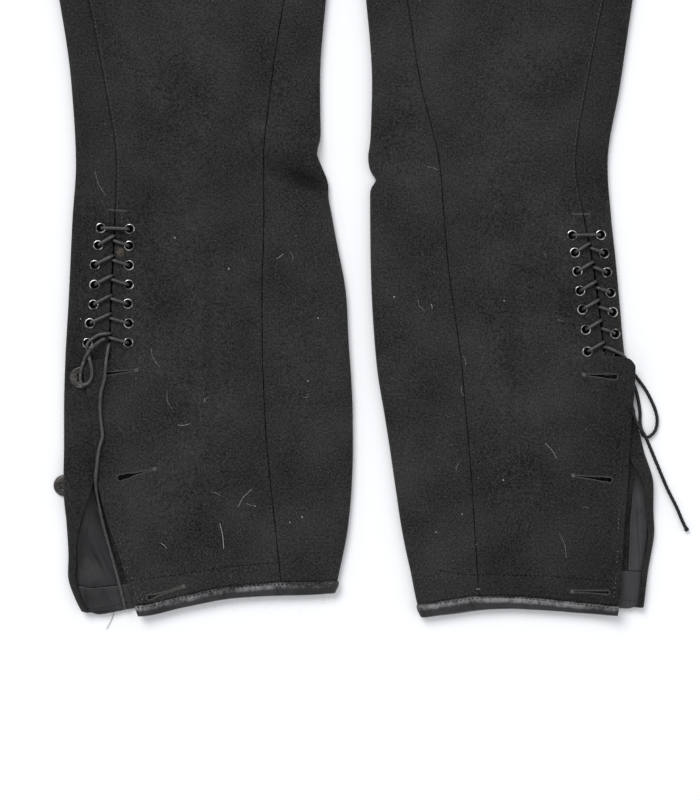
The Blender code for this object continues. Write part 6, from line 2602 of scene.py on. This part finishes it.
@dataclass
class WaistAndFly:
    """The waistband in its two halves, the fly's underlap and the waist button."""

    forms: Sequence[LegForm]
    underlap: tuple[float, float, float] = (44.0, 182.0, 1.6)  # width, height and thickness, mm
    button: tuple[float, float] = (9.0, 20.0)  # from the centre front and from the top edge, mm
    centre_gap: float = 0.04  # how far each half stays from the centre, mm
    columns: int = 58

    def build(self) -> None:
        """Builds the halves of the waistband, the fly and its sewing."""
        for form in self.forms:
            self.build_band(form)
        self.build_underlap()
        out, down = self.button
        place = Vector((out, LENGTH - down - MIDDLE, TOP + CLOTH / 2 + BUTTON_STAND))
        HornButton("waist_button", Seat(place, X_AXIS, Y_AXIS, Z_AXIS), WAIST_BUTTON_R).build()

    def band_row(self, form: LegForm, up: float) -> np.ndarray:
        """The band's middle at a height, from centre front over the outer fold to centre back.

        Args:
            form: the leg below it.
            up: the height.

        Returns:
            The points, in order.
        """
        outer = float(form.station("outer", up)) - CLOTH / 2
        top, fold, round_, under = (float(v) for v in form.outer_top(np.array(up)))
        line = [(out, up, top) for out in np.linspace(self.centre_gap, outer - round_, self.columns)]
        for turn in np.linspace(math.pi / 2, 0, 9)[1:]:
            z = fold + (top - fold) * math.sin(turn)
            line.append((outer - round_ * (1 - math.cos(turn)), up, z))
        for turn in np.linspace(0, math.pi / 2, 5)[1:]:
            z = fold - (fold - LOW) * math.sin(turn)
            line.append((outer - under * (1 - math.cos(turn)), up, z))
        back = np.linspace(outer - under, self.centre_gap, self.columns)[1:]
        line += [(out, up, LOW) for out in back]
        return np.array(line)

    def build_band(self, form: LegForm) -> None:
        """One half of the waistband.

        Args:
            form: the leg below it.
        """
        name = f"waistband_{form.cut.name}"
        ups = np.linspace(WAIST_SEAM + 0.3, LENGTH, 15)
        grid = form.placed(np.array([self.band_row(form, float(up)) for up in ups]))
        piece = add_cloth((f"{name}_wool", WOOL, name), grid, (CLOTH, CLOTH_EDGE))
        needle = Needle(form, Surface.of_pieces([piece]))
        reach = float(form.station("outer", 870.0)) - 12
        lines = [[(out, up) for out in (3.0, reach / 2, reach)] for up in (858.0, 892.0)]
        rows = [needle.row(line, TOP_STITCH) for line in lines]
        add_piece(f"waistband_stitching_{form.cut.name}", Mesh.joined(rows), GREY_THREAD)

    def build_underlap(self) -> None:
        """The underlap behind the centre front."""
        width, height, thickness = self.underlap
        z = TOP - CLOTH / 2 - SEAM_GAP - thickness / 2
        rows = []
        for r in np.linspace(0, 1, 37):
            taper = 1 - 0.35 * float(eased(np.array(1 - r * 4)))
            x = width * np.linspace(-0.5, 0.5, 12) * taper
            y = LENGTH - height + (height - 2) * r - MIDDLE
            rows.append(np.stack([x, np.full(12, y), np.full(12, z)], axis=-1))
        piece, thick = ("fly_underlap_wool", WOOL, "fly_underlap"), (thickness, 0.6)
        add_cloth(piece, np.array(rows) * MM, thick)


@dataclass
class Studio:
    """The paper, the lights and the camera straight above."""

    centre: tuple[float, float] = (3.0, -284.97)  # what the camera looks at, mm
    frame: float = 600.0  # the long side of what it sees, mm
    distance: float = 1506.0
    above: float = 1500.0  # its distance from the cloth's mean height, mm
    sensor: float = 36.0
    half_floor: float = 6.0  # m
    floor: float = -0.0006  # m, just under the breeches
    surround: str = "FAFBFF"
    surround_strength: float = 0.6
    # each light's name, the way towards it, the angle it fills in degrees and its strength
    lights: Sequence[tuple] = (
        ("key", (-0.45, 0.78, 1.0), 32, 1.7),
        ("across", (1.0, -0.35, 1.0), 60, 0.42),
    )

    def build(self) -> None:
        """Sets up the studio."""
        self.build_camera()
        self.build_floor()
        self.build_lights()

    def build_camera(self) -> None:
        """The camera, straight above and square to the floor."""
        data = bpy.data.cameras.new("camera")
        data.sensor_fit, data.sensor_width = "AUTO", self.sensor
        data.lens = self.sensor * self.above / self.frame
        data.clip_start, data.clip_end = 0.05, 20.0
        camera = bpy.data.objects.new("camera", data)
        camera.location = (self.centre[0] * MM, self.centre[1] * MM, self.distance * MM)
        bpy.context.scene.collection.objects.link(camera)
        bpy.context.scene.camera = camera

    def build_floor(self) -> None:
        """A wide sheet of white paper."""
        data = bpy.data.meshes.new("paper")
        half = self.half_floor
        corners = ((-half, -half), (half, -half), (half, half), (-half, half))
        data.from_pydata([(x, y, self.floor) for x, y in corners], [], [[0, 1, 2, 3]])
        data.materials.append(PAPER.material())
        paper = bpy.data.objects.new("paper", data)
        bpy.context.scene.collection.objects.link(paper)

    def build_lights(self) -> None:
        """A broad soft light from beyond the waist, a weaker one across, and a pale surround."""
        world = bpy.data.worlds.new("pale surround")
        world.use_nodes = True
        light = {"Color": linear(self.surround), "Strength": self.surround_strength}
        fill(world.node_tree.nodes["Background"], light)
        bpy.context.scene.world = world
        for name, towards, spread_angle, power in self.lights:
            data = bpy.data.lights.new(name, "SUN")
            data.angle, data.energy = math.radians(spread_angle), power
            light = bpy.data.objects.new(name, data)
            light.rotation_euler = Vector(towards).to_track_quat("Z", "Y").to_euler()
            bpy.context.scene.collection.objects.link(light)
        bpy.context.scene.view_settings.view_transform = "Standard"


def build_leg(cut: LegCut, wool: Finish) -> None:
    """Builds and dresses one leg.

    Args:
        cut: the leg's measured shape.
        wool: the front panel's finish.
    """
    form = LegForm(cut)
    panels = LegPanels(form, wool)
    panels.build()
    HemTrims(form).build()
    seats = panels.eyelet_seats()
    Eyelets(form, seats).build()
    for k, spot in enumerate(cut.buttons):
        if k < cut.buttons_on_top:
            seat = Seat.on(form, spot, form.wrap_spot, 7)
            seat.origin = seat.origin + seat.z * (CLOTH / 2 + BUTTON_STAND)
        else:
            # Hidden under the flap, it lies with its face down
            seat = Seat(form.at(spot.out, spot.up, BUTTON_H), X_AXIS, -Y_AXIS, -Z_AXIS)
        thread = PALE_THREAD if cut.side is Side.RIGHT and k == 1 else BLACK_THREAD
        HornButton(f"calf_button_{cut.name}_{k + 1}", seat, BUTTON_R, thread=thread).build()
    lacing = Lacing(form, seats)
    lacing.build_held()
    meshes = [o for o in bpy.context.scene.objects if o.type == "MESH" and "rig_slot" in o]
    mine = [o for o in meshes if cut.name in o.name]
    lacing.build_free("loop", cut.loop, Surface.of_pieces(mine), "object")
    under = Surface.of_pieces([*mine, bpy.data.objects[f"lace_loop_{cut.name}_lace"]])
    far_end = "bare" if cut.side is Side.RIGHT else "knot"
    lacing.build_free("tail", cut.tail, under, far_end)
    LegStitching(form, panels).build()
    Lint(form, panels.surface).build()


def main() -> None:
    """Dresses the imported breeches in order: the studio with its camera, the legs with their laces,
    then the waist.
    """
    logging.basicConfig(level=logging.INFO, format="%(message)s", stream=sys.stdout)
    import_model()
    Studio().build()
    build_leg(RIGHT_CUT, STAINED_SHADED_WOOL)
    build_leg(LEFT_CUT, SHADED_LOW_WOOL)
    WaistAndFly([LegForm(RIGHT_CUT), LegForm(LEFT_CUT)]).build()


if __name__ == "__main__":
    main()
